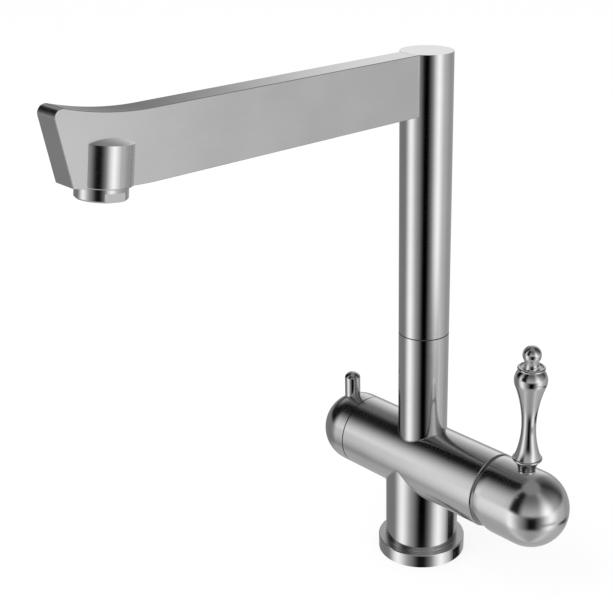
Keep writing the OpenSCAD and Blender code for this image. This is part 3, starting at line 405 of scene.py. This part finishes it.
# %% Steel
STEEL_TONE = 0.63
DULL_TINT = (0.965, 0.965, 0.96)
PALE_TINT = (1.03, 1.03, 1.03)
TINT_STEP = (0.3, 0.7)
CLOUD_SCALE = 38
CLOUD_SHARE = 0.7
CLOUD_ROUGH = 0.07
HAIR_SCALES = (900, 900, 60)
HAIR_STEP = (0.62, 0.74)
HAIR_ROUGH = 0.03
MATT_ROUGH = 0.22
MATT_EDGE = 0.2 * MM


def open_finish(name):
    """A new material with its board and the place on the piece that all its marks are read from."""
    material = bpy.data.materials.new(name)
    board = fresh_board(material)
    return material, board, board.add("ShaderNodeTexCoord", out="Object")


def close_finish(board, base, roughness, height, metal, strength, depth):
    """Feeds the shader: varying values by links, and constants on its own sockets."""
    normal = board.add("ShaderNodeBump", None, {"Strength": strength, "Distance": depth, "Height": height})
    shader = board.add("ShaderNodeBsdfPrincipled", None,
                       {"Base Color": base, "Roughness": roughness, "Metallic": metal, "Normal": normal})
    board.add("ShaderNodeOutputMaterial", None, {"Surface": shader})


def steel(name, marks, roughness, tone=STEEL_TONE, grain=0.05, strength=0.02, matt_over=None):
    """Steel with its own marks; matt_over is an axis and the place along it where the matt part starts."""
    material, board, place = open_finish(name)
    grained = marks(board, place)
    cloud = board.noise(place, CLOUD_SCALE, detail=3.0)
    stretched = board.join(*[part * scale for part, scale in zip(board.split(place), HAIR_SCALES)])
    hair = board.noise(stretched, scale=1.0, detail=3.0).rise(*HAIR_STEP)
    tint = (cloud * CLOUD_SHARE + grained * (1 - CLOUD_SHARE)).rise(*TINT_STEP)
    base = board.blend(tint, [tone * part for part in DULL_TINT], [tone * part for part in PALE_TINT])
    rough = roughness + (cloud - 0.5) * CLOUD_ROUGH + (grained - 0.5) * grain + hair * HAIR_ROUGH
    if matt_over is not None:
        axis, start = matt_over
        rough = rough + MATT_ROUGH * board.dot(place, axis).rise(start, start + MATT_EDGE)
    close_finish(board, base, rough, grained, metal=1.0, strength=strength, depth=0.01 * MM)
    return material


print("steel reflects", STEEL_TONE, "of the light")

# %% [markdown]
# ## Steel finishes
# Each tube was turned or polished about its own axis, so each group of pieces has its own finish.
# The barrel is a little softer than the uprights, and the bar was brushed along its length.

# %% Steel finishes
BARREL_Z = 63.5 * MM
HANDLE_X = 81.7
FLANGE_MATT = 8.3 * MM
NOZZLE_FOOT = Vector((0, -210.46, 283.5)) * MM
NOZZLE_TILT = math.radians(-7.8)
NOZZLE_SIDE = 19.5 * MM

on_nozzle = Matrix.Translation(NOZZLE_FOOT) @ Matrix.Rotation(NOZZLE_TILT, 4, "X")
nozzle_axis = on_nozzle.to_3x3() @ UP
crown_start = nozzle_axis.dot(NOZZLE_FOOT) + NOZZLE_SIDE
about_tap = rings_about("z", (0, 0, 0))
about_barrel = rings_about("x", (0, 0, BARREL_Z))
about_nozzle = rings_about("z", (0, NOZZLE_FOOT.y, 0))
about_handle = rings_about("z", (HANDLE_X * MM, 0, 0))
finish = {
    "upright": steel("upright_steel", about_tap, roughness=0.11),
    "barrel": steel("barrel_steel", about_barrel, roughness=0.16),
    "flange": steel("flange_steel", about_tap, roughness=0.11, matt_over=(UP, FLANGE_MATT)),
    "nozzle": steel("nozzle_steel", about_nozzle, roughness=0.11, matt_over=(nozzle_axis, crown_start)),
    "bar": steel("brushed_bar_steel", lines_along_bar, roughness=0.22, grain=0.1, strength=0.1),
    # The cartridge nut's steel is much darker than the rest: painted shade for the narrow groove between the
    # barrel and the cap.
    "shaded": steel("shaded_steel", about_barrel, roughness=0.2, tone=0.26),
    "bright": steel("bright_steel", about_handle, roughness=0.12, tone=0.6),
    "inner": steel("inner_steel", about_barrel, roughness=0.32, tone=0.45, grain=0.1),
}
print("steel finishes:", sorted(finish))

# %% [markdown]
# ## Finishes of the inner pieces
# Brass and copper dull in soft patches, and rubber is matt with a fine tooth.
# Moulded plastic has a light grain, and lapped ceramic is smooth with faint specks.
# All of them can be seen when the pieces are taken apart.

# %% Inner finishes
DULL_SCALE = 55
DULL_STEP = (0.35, 0.7)
DULL_ROUGH = 0.14
CUT_SCALE = 2600
CUT_ROUGH = 0.08
FLOW_SCALE = 60
FLOW_SHARE = 0.6
TOOTH_ROUGH = 0.12


def warm_metal(name, bright, dull, roughness):
    """Turned metal that has dulled in soft patches."""
    material, board, place = open_finish(name)
    patch = board.noise(place, DULL_SCALE, detail=4.0).rise(*DULL_STEP)
    cuts = board.noise(place, CUT_SCALE, detail=1.0)
    rough = roughness + patch * DULL_ROUGH + (cuts - 0.5) * CUT_ROUGH
    base = board.blend(patch, bright, dull)
    close_finish(board, base, rough, cuts, metal=1.0, strength=0.12, depth=0.02 * MM)
    return material


def moulded(name, first, second, roughness, tooth, strength):
    """Moulded or pressed material, with slow flow marks and a fine tooth."""
    material, board, place = open_finish(name)
    flow = board.noise(place, FLOW_SCALE, detail=3.0)
    grain = board.noise(place, tooth, detail=2.0)
    base = board.blend(flow * FLOW_SHARE + grain * (1 - FLOW_SHARE), first, second)
    rough = roughness + (grain - 0.5) * TOOTH_ROUGH
    close_finish(board, base, rough, grain, metal=0.0, strength=strength, depth=0.05 * MM)
    return material


# After the name come two tints and the roughness, then the scale and strength of a moulded tooth.
finish.update({
    "brass": warm_metal("turned_brass", (0.80, 0.62, 0.29), (0.58, 0.42, 0.18), 0.22),
    "copper": warm_metal("drawn_copper", (0.78, 0.42, 0.27), (0.48, 0.22, 0.13), 0.25),
    "rubber": moulded("matt_rubber", (0.022, 0.022, 0.022), (0.04, 0.04, 0.038), 0.7, 1500, 0.25),
    "dark": moulded("dark_plastic", (0.05, 0.05, 0.052), (0.075, 0.075, 0.075), 0.45, 1900, 0.12),
    "pale": moulded("pale_plastic", (0.80, 0.80, 0.77), (0.86, 0.86, 0.84), 0.4, 1700, 0.1),
    "ceramic": moulded("lapped_ceramic", (0.86, 0.85, 0.81), (0.93, 0.92, 0.89), 0.18, 2400, 0.03),
})
print("finishes:", len(finish))

# %% [markdown]
# ## Dressing the solids
# Most solids have their real shape already, so they only take a finish.
# The finish follows the record's material slot, and a few pieces have one of their own.
# Mirror rays pass through the bar and the handle below: their images would clutter the crown and the column.
# The tube and the stud inside those two are therefore hidden from mirror rays as well.

# %% Dress the solids
FINISH_OF_SLOT = {
    "steel_body": "upright",
    "polished_steel": "bright",
    "brass": "brass",
    "copper": "copper",
    "rubber": "rubber",
    "dark_plastic": "dark",
    "pale_plastic": "pale",
    "ceramic": "ceramic",
    "inner_steel": "inner",
}
FINISH_OF_NODE = {
    "barrel": "barrel",
    "filter_cap": "barrel",
    # The nut takes the darker steel: painted shade in the groove round it.
    "cartridge_nut": "shaded",
    "base_flange": "flange",
    "nozzle_housing": "nozzle",
}
UNMIRRORED = ("filter_spout_tube", "handle_stud")

for name, solid in nodes.items():
    solid.data.materials.clear()
    solid.data.materials.append(finish[FINISH_OF_NODE.get(name, FINISH_OF_SLOT[slot_of[name]])])
for name in UNMIRRORED:
    nodes[name].visible_glossy = False
print("dressed solids:", len(nodes))

# %% [markdown]
# ## Pieces from geometry nodes
# A geometry tree is a recipe: named inputs go in, and a mesh comes out.
# Each recipe ends by making its copies real and by setting the material, because an export drops copies.
# The result is then taken off as a plain mesh, and becomes a piece that rides on a body of the tap.

# %% Trees
def open_tree(name, sockets):
    """A new tree with named inputs: its board, and its inputs by name."""
    tree = bpy.data.node_groups.new(name, "GeometryNodeTree")
    for label, kind in sockets.items():
        tree.interface.new_socket(label, in_out="INPUT", socket_type="NodeSocket" + kind)
    tree.interface.new_socket("Piece", in_out="OUTPUT", socket_type="NodeSocketGeometry")
    board = Board(tree)
    start = tree.nodes.new("NodeGroupInput")
    return board, {socket.name: Wire(board, socket) for socket in start.outputs if socket.name}


def close_tree(board, piece, material):
    """Makes the copies real, sets the finish and gives the finished tree."""
    piece = board.add("GeometryNodeRealizeInstances", None, {"Geometry": piece})
    piece = board.add("GeometryNodeSetMaterial", None, {"Geometry": piece, "Material": material})
    end = board.tree.nodes.new("NodeGroupOutput")
    board.tree.links.new(piece.socket, end.inputs[0])
    return board.tree


print("a tree ends in copies made real and a finish")

# %% Running a tree
def taken_off(thing):
    """The plain mesh that an object's modifiers make; the object itself goes away."""
    bpy.context.view_layer.update()
    made = bpy.data.meshes.new_from_object(thing.evaluated_get(bpy.context.evaluated_depsgraph_get()))
    thing.modifiers.clear()
    bpy.data.objects.remove(thing)
    return made


def run_tree(tree, points, edges, values):
    """Runs a tree on a chain of points and returns the plain mesh it makes."""
    mesh = bpy.data.meshes.new("path")
    mesh.from_pydata(points, edges, [])
    thing = bpy.data.objects.new("path", mesh)
    scene.collection.objects.link(thing)
    step = thing.modifiers.new("tree", "NODES")
    step.node_group = tree
    for item in tree.interface.items_tree:
        if item.item_type == "SOCKET" and item.in_out == "INPUT" and item.name in values:
            step[item.identifier] = values[item.name]
    return taken_off(thing)


print("a tree's result becomes a plain mesh")

# %% Adding a piece
MERGE = 1e-7


def add_piece(name, mesh, body, slot, *stands_for, sharp=32, keep_normals=False, mirrored=True):
    """Makes a mesh a piece of the tap: closed, smooth, riding its body, in place of its solids."""
    if not keep_normals:
        work = bmesh.new()
        work.from_mesh(mesh)
        bmesh.ops.remove_doubles(work, verts=work.verts, dist=MERGE)
        bmesh.ops.recalc_face_normals(work, faces=work.faces)
        work.to_mesh(mesh)
        work.free()
        mesh.shade_smooth()
        mesh.set_sharp_from_angle(angle=math.radians(sharp))
    thing = bpy.data.objects.new(name, mesh)
    scene.collection.objects.link(thing)
    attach(thing, body)
    if stands_for:
        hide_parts(*stands_for)
    thing.visible_glossy = mirrored
    print(name, "faces:", len(mesh.polygons))
    return thing


print("doubles closer than", MERGE, "m are merged")

# %% [markdown]
# ## A lathe
# A lathe turns a profile round an axis.
# Blender's Spin does it too, but a tree can be run again with other sizes.
# The tree takes the profile as a chain of points and lays a grid with one row for each of them.
# It then turns each column of the grid a step further.

# %% Lathe tree
SEAM = 1e-6


def lathe_tree():
    """A grid with a column for each step, wrapped round the axis and sewn at its seam."""
    board, given = open_tree("lathe", {"Profile": "Geometry", "Steps": "Int", "Finish": "Material"})
    profile = given["Profile"]
    count = board.add("GeometryNodeAttributeDomainSize", {"component": "MESH"}, {"Geometry": profile})
    grid = board.add("GeometryNodeMeshGrid", None, {"Vertices X": given["Steps"] + 1, "Vertices Y": count})
    index = board.add("GeometryNodeInputIndex")
    place = board.add("GeometryNodeInputPosition")
    point = board.add("GeometryNodeSampleIndex", {"data_type": "FLOAT_VECTOR"},
                      {"Geometry": profile, "Value": place, "Index": index % count})
    angle = (index / count).floor() * (2 * math.pi) / given["Steps"]
    settings = {"rotation_type": "Z_AXIS"}
    spun = board.add("ShaderNodeVectorRotate", settings, {"Vector": point, "Angle": angle})
    piece = board.add("GeometryNodeSetPosition", None, {"Geometry": grid, "Position": spun})
    piece = board.add("GeometryNodeMergeByDistance", None, {"Geometry": piece, "Distance": SEAM})
    return close_tree(board, piece, given["Finish"])


LATHE = lathe_tree()
print("lathe nodes:", len(LATHE.nodes))

# %% Profiles
def arc(centre, radius, start, end, steps):
    """Points of an arc as (radius, height) pairs, angles in degrees."""
    turns = [math.radians(start + (end - start) * k / steps) for k in range(steps + 1)]
    return [(centre[0] + radius * math.cos(turn), centre[1] + radius * math.sin(turn)) for turn in turns]


def turned(profile, steps, material, placed):
    """A turned mesh from (radius, height) pairs in millimetres, moved to its place."""
    points = [(max(r, 0) * MM, 0, h * MM) for r, h in profile]
    edges = [(k, k + 1) for k in range(len(points) - 1)]
    mesh = run_tree(LATHE, points, edges, {"Steps": steps, "Finish": material})
    mesh.transform(placed)
    return mesh


print("a quarter arc in 6 steps has", len(arc((0, 0), 1, 0, 90, 6)), "points")

# %% [markdown]
# ## Lever handle
# The handle is a baluster turned from bar, with a bead at its foot, then a cup and a ring.
# Above them come a long waist and a bulb with a lip, and a ball sits in the dish of that lip.
# A curve drawn by eye would ripple in the mirror image, so the profile is a chain of true arcs.

# %% Handle neck
FOOT_R, FOOT_EDGE = 5.2, 1
NECK_STEP, NECK_ARC = 0.2, 14
RING_UP, RING_R, RING_EDGE = 9.1, 8.6, 0.9
NECK_STEPS = 14


def neck_points():
    """The hollow arc from the foot's bead up to the ring."""
    low = Vector((FOOT_R - NECK_STEP, 2 * FOOT_EDGE))
    high = Vector((RING_R - RING_EDGE, RING_UP - RING_EDGE))
    half = (high - low) / 2
    away = math.sqrt(NECK_ARC ** 2 - half.length_squared) / half.length
    centre = low + half + away * Vector((half[1], -half[0]))
    ends = [math.degrees(math.atan2(end[1] - centre[1], end[0] - centre[0])) % 360 for end in (low, high)]
    return arc(centre, NECK_ARC, *ends, NECK_STEPS)


print("the neck ends at radius and height", [round(v, 2) for v in neck_points()[-1]])

# %% Handle waist
WAIST_UP, WAIST_R = 29.6, 4.2
BULB_UP, BULB_R, BULB_ARC = 58.1, 9.5, 9
LIP_UP, LIP_EDGE = 65.4, 0.85
WAIST_STEPS, BULB_STEPS = 24, 26


def waist_points():
    """Two hollow arcs that meet at the waist, then the bulb up to its lip."""
    run, rise = RING_R - RING_EDGE - WAIST_R, WAIST_UP - RING_UP - RING_EDGE
    low_arc = (run * run + rise * rise) / (2 * run)
    sweep = math.degrees(math.asin(rise / low_arc))
    points = arc((WAIST_R + low_arc, WAIST_UP), low_arc, 180 + sweep, 180, WAIST_STEPS)
    inside = BULB_R - BULB_ARC
    run, rise = WAIST_R - inside, BULB_UP - WAIST_UP
    high_arc = (run * run + rise * rise - BULB_ARC * BULB_ARC) / (2 * (BULB_ARC - run))
    sweep = math.degrees(math.asin(rise / (high_arc + BULB_ARC)))
    points += arc((WAIST_R + high_arc, WAIST_UP), high_arc, 180, 180 - sweep, BULB_STEPS)[1:]
    lip_low = math.degrees(math.asin((LIP_UP - LIP_EDGE - BULB_UP) / BULB_ARC))
    return points + arc((inside, BULB_UP), BULB_ARC, -sweep, lip_low, BULB_STEPS)[1:]


print("the bulb ends at radius and height", [round(v, 2) for v in waist_points()[-1]])

# %% Handle profile
FOOT_END = 53
LIP_R, LIP_START, LIP_END = 7.95, -60, 200
HANDLE_H, BALL_R, BALL_NECK = 78.7, 5.35, 4.2
DISH_ARC, DISH_DEEP = 1.2, 0.4
FOOT_STEPS, RING_STEPS, LIP_STEPS, DISH_STEPS, BALL_STEPS = 12, 14, 20, 10, 28


def handle_profile():
    """(radius, height) from the foot's middle to the top of the ball, in millimetres."""
    points = [(0, 0)] + arc((FOOT_R - FOOT_EDGE, FOOT_EDGE), FOOT_EDGE, -90, FOOT_END, FOOT_STEPS)
    points += neck_points()
    points += arc((RING_R - RING_EDGE, RING_UP), RING_EDGE, -90, 90, RING_STEPS)[1:]
    points += waist_points()
    points += arc((LIP_R - LIP_EDGE, LIP_UP), LIP_EDGE, LIP_START, LIP_END, LIP_STEPS)
    points += arc((BALL_NECK + DISH_ARC, LIP_UP - DISH_DEEP + DISH_ARC), DISH_ARC, 270, 180, DISH_STEPS)
    neck_end = -math.degrees(math.acos(BALL_NECK / BALL_R))
    points += arc((0, HANDLE_H - BALL_R), BALL_R, neck_end, 90, BALL_STEPS)
    return points[:-1] + [(0, HANDLE_H)]


print("points of the handle's profile:", len(handle_profile()))

# %% Lever handle
SEAT_Z = 85.304
HANDLE_STEPS = 72

on_seat = Matrix.Translation(Vector((HANDLE_X, 0, SEAT_Z)) * MM)
mesh = turned(handle_profile(), HANDLE_STEPS, finish["bright"], on_seat)
add_piece("baluster_handle", mesh, "mixer_lever", "polished_steel", "lever_handle",
          sharp=40, mirrored=False)

# %% [markdown]
# ## Spout bar
# The bar is a flat box that bends up at its tip and ends in a slanted face.
# It is drawn as an outline seen from the side and pulled out to its thickness.
# A Bevel modifier breaks its edges, so a thin line of light runs along them as on folded, polished sheet.

# %% Bar outline
BAR_TOP, BAR_H = 315, 33.9
BAR_START, BAR_STRAIGHT = 13.19, 185
BEND_R, BAR_REACH = 148, 228.9
END_LEAN, TIP_R = 10, 4
BEND_STEPS, TIP_STEPS = 30, 12


def turn_from(centre, point):
    """The angle of a point about a centre, in degrees."""
    return math.degrees(math.atan2(point[1] - centre[1], point[0] - centre[0]))


def bar_outline():
    """(distance from the column's axis, height) round the bar, in millimetres."""
    centre = Vector((BAR_STRAIGHT, BAR_TOP + BEND_R))
    outer_r = BEND_R + BAR_H
    foot = Vector((BAR_REACH, centre[1] - math.sqrt(outer_r ** 2 - (BAR_REACH - BAR_STRAIGHT) ** 2)))
    lean = math.radians(END_LEAN)
    along = Vector((math.sin(lean), math.cos(lean)))
    out = Vector((math.cos(lean), -math.sin(lean)))
    depth = (foot - centre).dot(out) - TIP_R
    tip = centre + depth * out - math.sqrt((BEND_R + TIP_R) ** 2 - depth ** 2) * along
    tip_turn = turn_from(centre, tip)
    points = [(BAR_START, BAR_TOP - BAR_H)]
    points += arc(centre, outer_r, -90, turn_from(centre, foot), BEND_STEPS)
    points += arc(tip, TIP_R, -END_LEAN, 180 + tip_turn, TIP_STEPS)
    points += arc(centre, BEND_R, tip_turn, -90, BEND_STEPS)[1:]
    return points + [(BAR_START, BAR_TOP)]


print("points round the bar:", len(bar_outline()))

# %% Spout bar
BAR_HALF = 7.25
BAR_EDGE = 0.35
EDGE_SEGMENTS = 3
EDGE_ANGLE = math.radians(40)


def bar_mesh():
    """The outline pulled out to the bar's thickness, with its edges bevelled."""
    work = bmesh.new()
    outline = [work.verts.new((-BAR_HALF * MM, -d * MM, z * MM)) for d, z in bar_outline()]
    pulled = bmesh.ops.extrude_face_region(work, geom=[work.faces.new(outline)])
    moved = [part for part in pulled["geom"] if isinstance(part, bmesh.types.BMVert)]
    bmesh.ops.translate(work, verts=moved, vec=(2 * BAR_HALF * MM, 0, 0))
    bmesh.ops.recalc_face_normals(work, faces=work.faces)
    mesh = bpy.data.meshes.new("bar")
    work.to_mesh(mesh)
    work.free()
    mesh.shade_smooth()
    mesh.materials.append(finish["bar"])
    thing = bpy.data.objects.new("bar", mesh)
    scene.collection.objects.link(thing)
    bevel = thing.modifiers.new("edges", "BEVEL")
    bevel.width = BAR_EDGE * MM
    bevel.segments = EDGE_SEGMENTS
    bevel.harden_normals = True
    bevel.limit_method = "ANGLE"
    bevel.angle_limit = EDGE_ANGLE
    return taken_off(thing)


add_piece("bent_spout_bar", bar_mesh(), "spout", "steel_body", "spout_bar",
          keep_normals=True, mirrored=False)

# %% [markdown]
# ## Mixer cap
# The cap is a dome on a short tube. Its rim is straight above the axis and slants away below it.
# The slant leaves the room that the cap needs to tilt with the lever.
# A cut through a lathe's mesh would leave ragged triangles, so rows of points follow the rim's rule.

# %% Cap rows
CAP_X, DOME_X, CAP_R = 60.5, 85.6, 22.5
RIM_SLANT = math.tan(math.radians(26.6))
CUP_X, CUP_R, BORE_R = 58, 22.05, 19.5
HUB_X = 77.7
RIM_EDGE = 0.35
POLE_TURN, EDGE_TURN = 88, 22
DOME_ROWS, SIDE_ROWS, EDGE_ROWS, BORE_ROWS = 30, 6, 4, 10
RIM_TRIES = 8


def rim_at(radius, angle):
    """Where the rim starts along the barrel, at an angle from the top."""
    return CAP_X + max(0, -radius * math.cos(angle)) * RIM_SLANT


def inside_at(x):
    """The hollow's radius: a ball-shaped cup that ends in a bore."""
    return max(BORE_R, math.sqrt(max(0, CUP_R ** 2 - (x - CUP_X) ** 2)))


def cap_rows(angle):
    """(x, radius) from the pole over the rim to the hub, at one angle from the top."""
    rows = [(DOME_X + h, r) for r, h in arc((0, 0), CAP_R, POLE_TURN, 0, DOME_ROWS)]
    edge = rim_at(CAP_R, angle) + RIM_EDGE
    rows += [(DOME_X + (edge - DOME_X) * k / SIDE_ROWS, CAP_R) for k in range(1, SIDE_ROWS + 1)]
    rows += [(edge - h, CAP_R - RIM_EDGE + r) for r, h in arc((0, 0), RIM_EDGE, EDGE_TURN, 90, EDGE_ROWS)]
    inner = CUP_R
    for _ in range(RIM_TRIES):
        inner = inside_at(rim_at(inner, angle))
    start = rim_at(inner, angle)
    inside = [start + (HUB_X - start) * k / BORE_ROWS for k in range(BORE_ROWS + 1)]
    return rows + [(x, inside_at(x)) for x in inside]


print("rows of the cap:", len(cap_rows(0)))

# %% Mixer cap
AROUND = 128


def cap_mesh():
    """Columns of points round the barrel's axis, closed at the pole and at the hub."""
    work = bmesh.new()
    columns = []
    for k in range(AROUND):
        turn = 2 * math.pi * k / AROUND
        columns.append([
            work.verts.new((x * MM, r * math.sin(turn) * MM, BARREL_Z + r * math.cos(turn) * MM))
            for x, r in cap_rows(turn)])
    pole = work.verts.new(((DOME_X + CAP_R) * MM, 0, BARREL_Z))
    hub = work.verts.new((HUB_X * MM, 0, BARREL_Z))
    for left, right in zip(columns, columns[1:] + columns[:1]):
        work.faces.new((pole, left[0], right[0]))
        for k in range(len(left) - 1):
            work.faces.new((left[k], left[k + 1], right[k + 1], right[k]))
        work.faces.new((hub, right[-1], left[-1]))
    mesh = bpy.data.meshes.new("cap")
    work.to_mesh(mesh)
    work.free()
    mesh.materials.append(finish["barrel"])
    return mesh


add_piece("tilting_mixer_cap", cap_mesh(), "mixer_lever", "steel_body", "mixer_cap", sharp=38)

# %% [markdown]
# ## Weld beads
# Where two tubes meet, the real tap has a ground weld: a hair-thin fillet that catches the light.
# Such a bead follows a path, so a tree sweeps a small circle along a loop of points.
# The loops are where the riser and the pillar meet the barrel, and where the pillar stands on its flange.

# %% Bead tree
BEAD_SIDES = 10


def bead_tree():
    """A small circle swept along each chain of points."""
    board, given = open_tree("bead", {"Path": "Geometry", "Radius": "Float", "Finish": "Material"})
    curve = board.add("GeometryNodeMeshToCurve", None, {"Mesh": given["Path"]})
    ring = board.add("GeometryNodeCurvePrimitiveCircle", None,
                     {"Resolution": BEAD_SIDES, "Radius": given["Radius"]})
    piece = board.add("GeometryNodeCurveToMesh", None, {"Curve": curve, "Profile Curve": ring})
    return close_tree(board, piece, given["Finish"])


BEAD = bead_tree()
print("bead nodes:", len(BEAD.nodes))

# %% Weld beads
BEAD_R = 0.3
BARREL_R, RISER_R, PILLAR_R = 22.5, 15.05, 22.45
FLANGE_TOP = 8.6
LOOP_STEPS = 120


def loop(radius, height_at):
    """A loop round the tap's axis, in millimetres; its height follows y."""
    turns = [2 * math.pi * k / LOOP_STEPS for k in range(LOOP_STEPS)]
    flat = [(radius * math.cos(turn), radius * math.sin(turn)) for turn in turns]
    return [(x, y, height_at(y)) for x, y in flat]


def barrel_at(side):
    """The barrel's height over y, on its upper side (1) or its lower side (-1)."""
    return lambda y: BARREL_Z / MM + side * math.sqrt(BARREL_R ** 2 - y * y)


loops = [loop(RISER_R, barrel_at(1)), loop(PILLAR_R, barrel_at(-1)), loop(PILLAR_R, lambda y: FLANGE_TOP)]
points = [tuple(v * MM for v in point) for row in loops for point in row]
edges = [(LOOP_STEPS * n + k, LOOP_STEPS * n + (k + 1) % LOOP_STEPS)
         for n in range(len(loops)) for k in range(LOOP_STEPS)]
mesh = run_tree(BEAD, points, edges, {"Radius": BEAD_R * MM, "Finish": finish["upright"]})
add_piece("weld_beads", mesh, "tap_body", "steel_body", sharp=80)

# %% [markdown]
# ## Threads under the deck
# Three hose sockets and two stud holes open downwards, and each has a thread.
# A thread could be cut from the solid, but a ridge wound into the hole looks the same and stays light.
# The tree makes one spiral and sets it on each hole's centre.

# %% Thread tree
SPIRAL_STEPS = 24
RIDGE_SIDES = 4


def thread_tree():
    """One spiral ridge, set on each centre."""
    board, given = open_tree("thread", {
        "Centres": "Geometry", "Radius": "Float", "Turns": "Float", "Pitch": "Float", "Ridge": "Float",
        "Finish": "Material"})
    spiral = board.add("GeometryNodeCurveSpiral", None, {
        "Resolution": SPIRAL_STEPS, "Rotations": given["Turns"], "Start Radius": given["Radius"],
        "End Radius": given["Radius"], "Height": given["Turns"] * given["Pitch"]})
    ridge = board.add("GeometryNodeCurvePrimitiveCircle", None,
                      {"Resolution": RIDGE_SIDES, "Radius": given["Ridge"]})
    coil = board.add("GeometryNodeCurveToMesh", None,
                     {"Curve": spiral, "Profile Curve": ridge, "Fill Caps": True})
    piece = board.add("GeometryNodeInstanceOnPoints", None, {"Points": given["Centres"], "Instance": coil})
    return close_tree(board, piece, given["Finish"])


THREAD = thread_tree()
print("thread nodes:", len(THREAD.nodes))

# %% Threads
HOSES = [(-5.8, -9), (5.8, -9), (0, 9.5)]
HOSE_R, HOSE_TURNS = 4.5, 10.0
STUDS = [(-13.5, 0), (13.5, 0)]
STUD_R, STUD_TURNS = 2.5, 12.0
THREAD_LOW, PITCH, RIDGE = 0.9, 1.0, 0.4


def threads(name, centres, radius, turns):
    """One piece, with a thread in each hole of a kind."""
    points = [(x * MM, y * MM, THREAD_LOW * MM) for x, y in centres]
    mesh = run_tree(THREAD, points, [], {
        "Radius": radius * MM, "Turns": turns, "Pitch": PITCH * MM, "Ridge": RIDGE * MM,
        "Finish": finish["brass"]})
    return add_piece(name, mesh, "tap_body", "brass", sharp=30)


threads("hose_threads", HOSES, HOSE_R, HOSE_TURNS)
threads("stud_threads", STUDS, STUD_R, STUD_TURNS)

# %% [markdown]
# ## Aerator screen
# Looking up into the nozzle one sees a honeycomb of small cells that mixes air into the water.
# The filtered water has its own round jet in the middle, so the two waters never meet.
# A bump in a material would look flat from below, so a tree sets a real cell on each point of a grid.

# %% Honeycomb cell
CELL, CELL_WALL, CELL_DEPTH = 1.45, 0.16, 4.0
CELL_SIDES = 6
HALF_SIDE = math.pi / CELL_SIDES


def hex_cell():
    """One hollow six-sided cell, standing on its lower rim."""
    work = bmesh.new()
    outer, inner = CELL / 2, CELL / 2 - CELL_WALL
    rings = []
    for radius, height in ((outer, 0), (outer, CELL_DEPTH), (inner, CELL_DEPTH), (inner, 0)):
        across = radius / math.cos(HALF_SIDE) * MM
        turns = [HALF_SIDE * (2 * k + 1) for k in range(CELL_SIDES)]
        rings.append([work.verts.new((across * math.cos(turn), across * math.sin(turn), height * MM))
                      for turn in turns])
    for low, high in zip(rings, rings[1:] + rings[:1]):
        for k in range(CELL_SIDES):
            after = (k + 1) % CELL_SIDES
            work.faces.new((low[k], low[after], high[after], high[k]))
    mesh = bpy.data.meshes.new("cell")
    work.to_mesh(mesh)
    work.free()
    thing = bpy.data.objects.new("cell", mesh)
    scene.collection.objects.link(thing)
    return thing


print("a cell is", CELL, "mm wide and", CELL_DEPTH, "mm deep")

# %% Honeycomb
CORE_R, CORE_LOW, CORE_TOP = 9.5, -5.25, 5.25
JET_R, JET_WALL = 2.0, 0.7
CELL_PITCH = CELL + 0.02
CELL_UP = 0.4
EDGE_ROOM = 0.8
REACH = 8


def screen_tree():
    """The same cell, set on each point."""
    board, given = open_tree("screen", {"Points": "Geometry", "Cell": "Object", "Finish": "Material"})
    cell = board.add("GeometryNodeObjectInfo", None, {"Object": given["Cell"]}, out="Geometry")
    piece = board.add("GeometryNodeInstanceOnPoints", None, {"Points": given["Points"], "Instance": cell})
    return close_tree(board, piece, given["Finish"])


def cell_places():
    """The staggered grid between the jet and the rim, in millimetres."""
    nearest = JET_R + JET_WALL + CELL / 2
    furthest = CORE_R - EDGE_ROOM - CELL / 2
    steps = range(-REACH, REACH + 1)
    grid = [((i + 0.5 * (j % 2)) * CELL_PITCH, j * CELL_PITCH * math.sqrt(0.75))
            for i in steps for j in steps]
    return [(x, y) for x, y in grid if nearest < math.hypot(x, y) < furthest]


cell = hex_cell()
points = [(x * MM, y * MM, (CORE_LOW + CELL_UP) * MM) for x, y in cell_places()]
screen = run_tree(screen_tree(), points, [], {"Cell": cell, "Finish": finish["pale"]})
bpy.data.objects.remove(cell)
screen.transform(on_nozzle)
print("cells:", len(points))

# %% Aerator screen
RIM_WALL, RIM_ROUND = 0.9, 0.3
WEB_UP = 4.3
JET_UP = 0.2
RIM_STEPS, JET_STEPS, CORE_STEPS = 5, 8, 64


def core_profile():
    """(radius, height) round the core's section: its rim, its top, its jet and the web between them."""
    low, web = CORE_LOW + RIM_ROUND, CORE_LOW + WEB_UP
    inner, jet_outer = CORE_R - RIM_WALL, JET_R + JET_WALL
    jet_low = CORE_LOW + JET_UP
    points = [(inner, web), (inner, low)]
    points += arc((inner + RIM_ROUND, low), RIM_ROUND, 180, 270, RIM_STEPS)
    points += arc((CORE_R - RIM_ROUND, low), RIM_ROUND, 270, 360, RIM_STEPS)
    points += [(CORE_R, CORE_TOP), (jet_outer, CORE_TOP), (JET_R, CORE_TOP), (JET_R, jet_low)]
    points += arc((JET_R + JET_WALL / 2, jet_low), JET_WALL / 2, 180, 360, JET_STEPS)
    return points + [(jet_outer, web), (inner, web)]


both = bmesh.new()
both.from_mesh(screen)
both.from_mesh(turned(core_profile(), CORE_STEPS, finish["pale"], on_nozzle))
both.to_mesh(screen)
both.free()
add_piece("aerator_screen", screen, "spout", "pale_plastic", "aerator_core", sharp=30)

# %% [markdown]
# ## Last lines
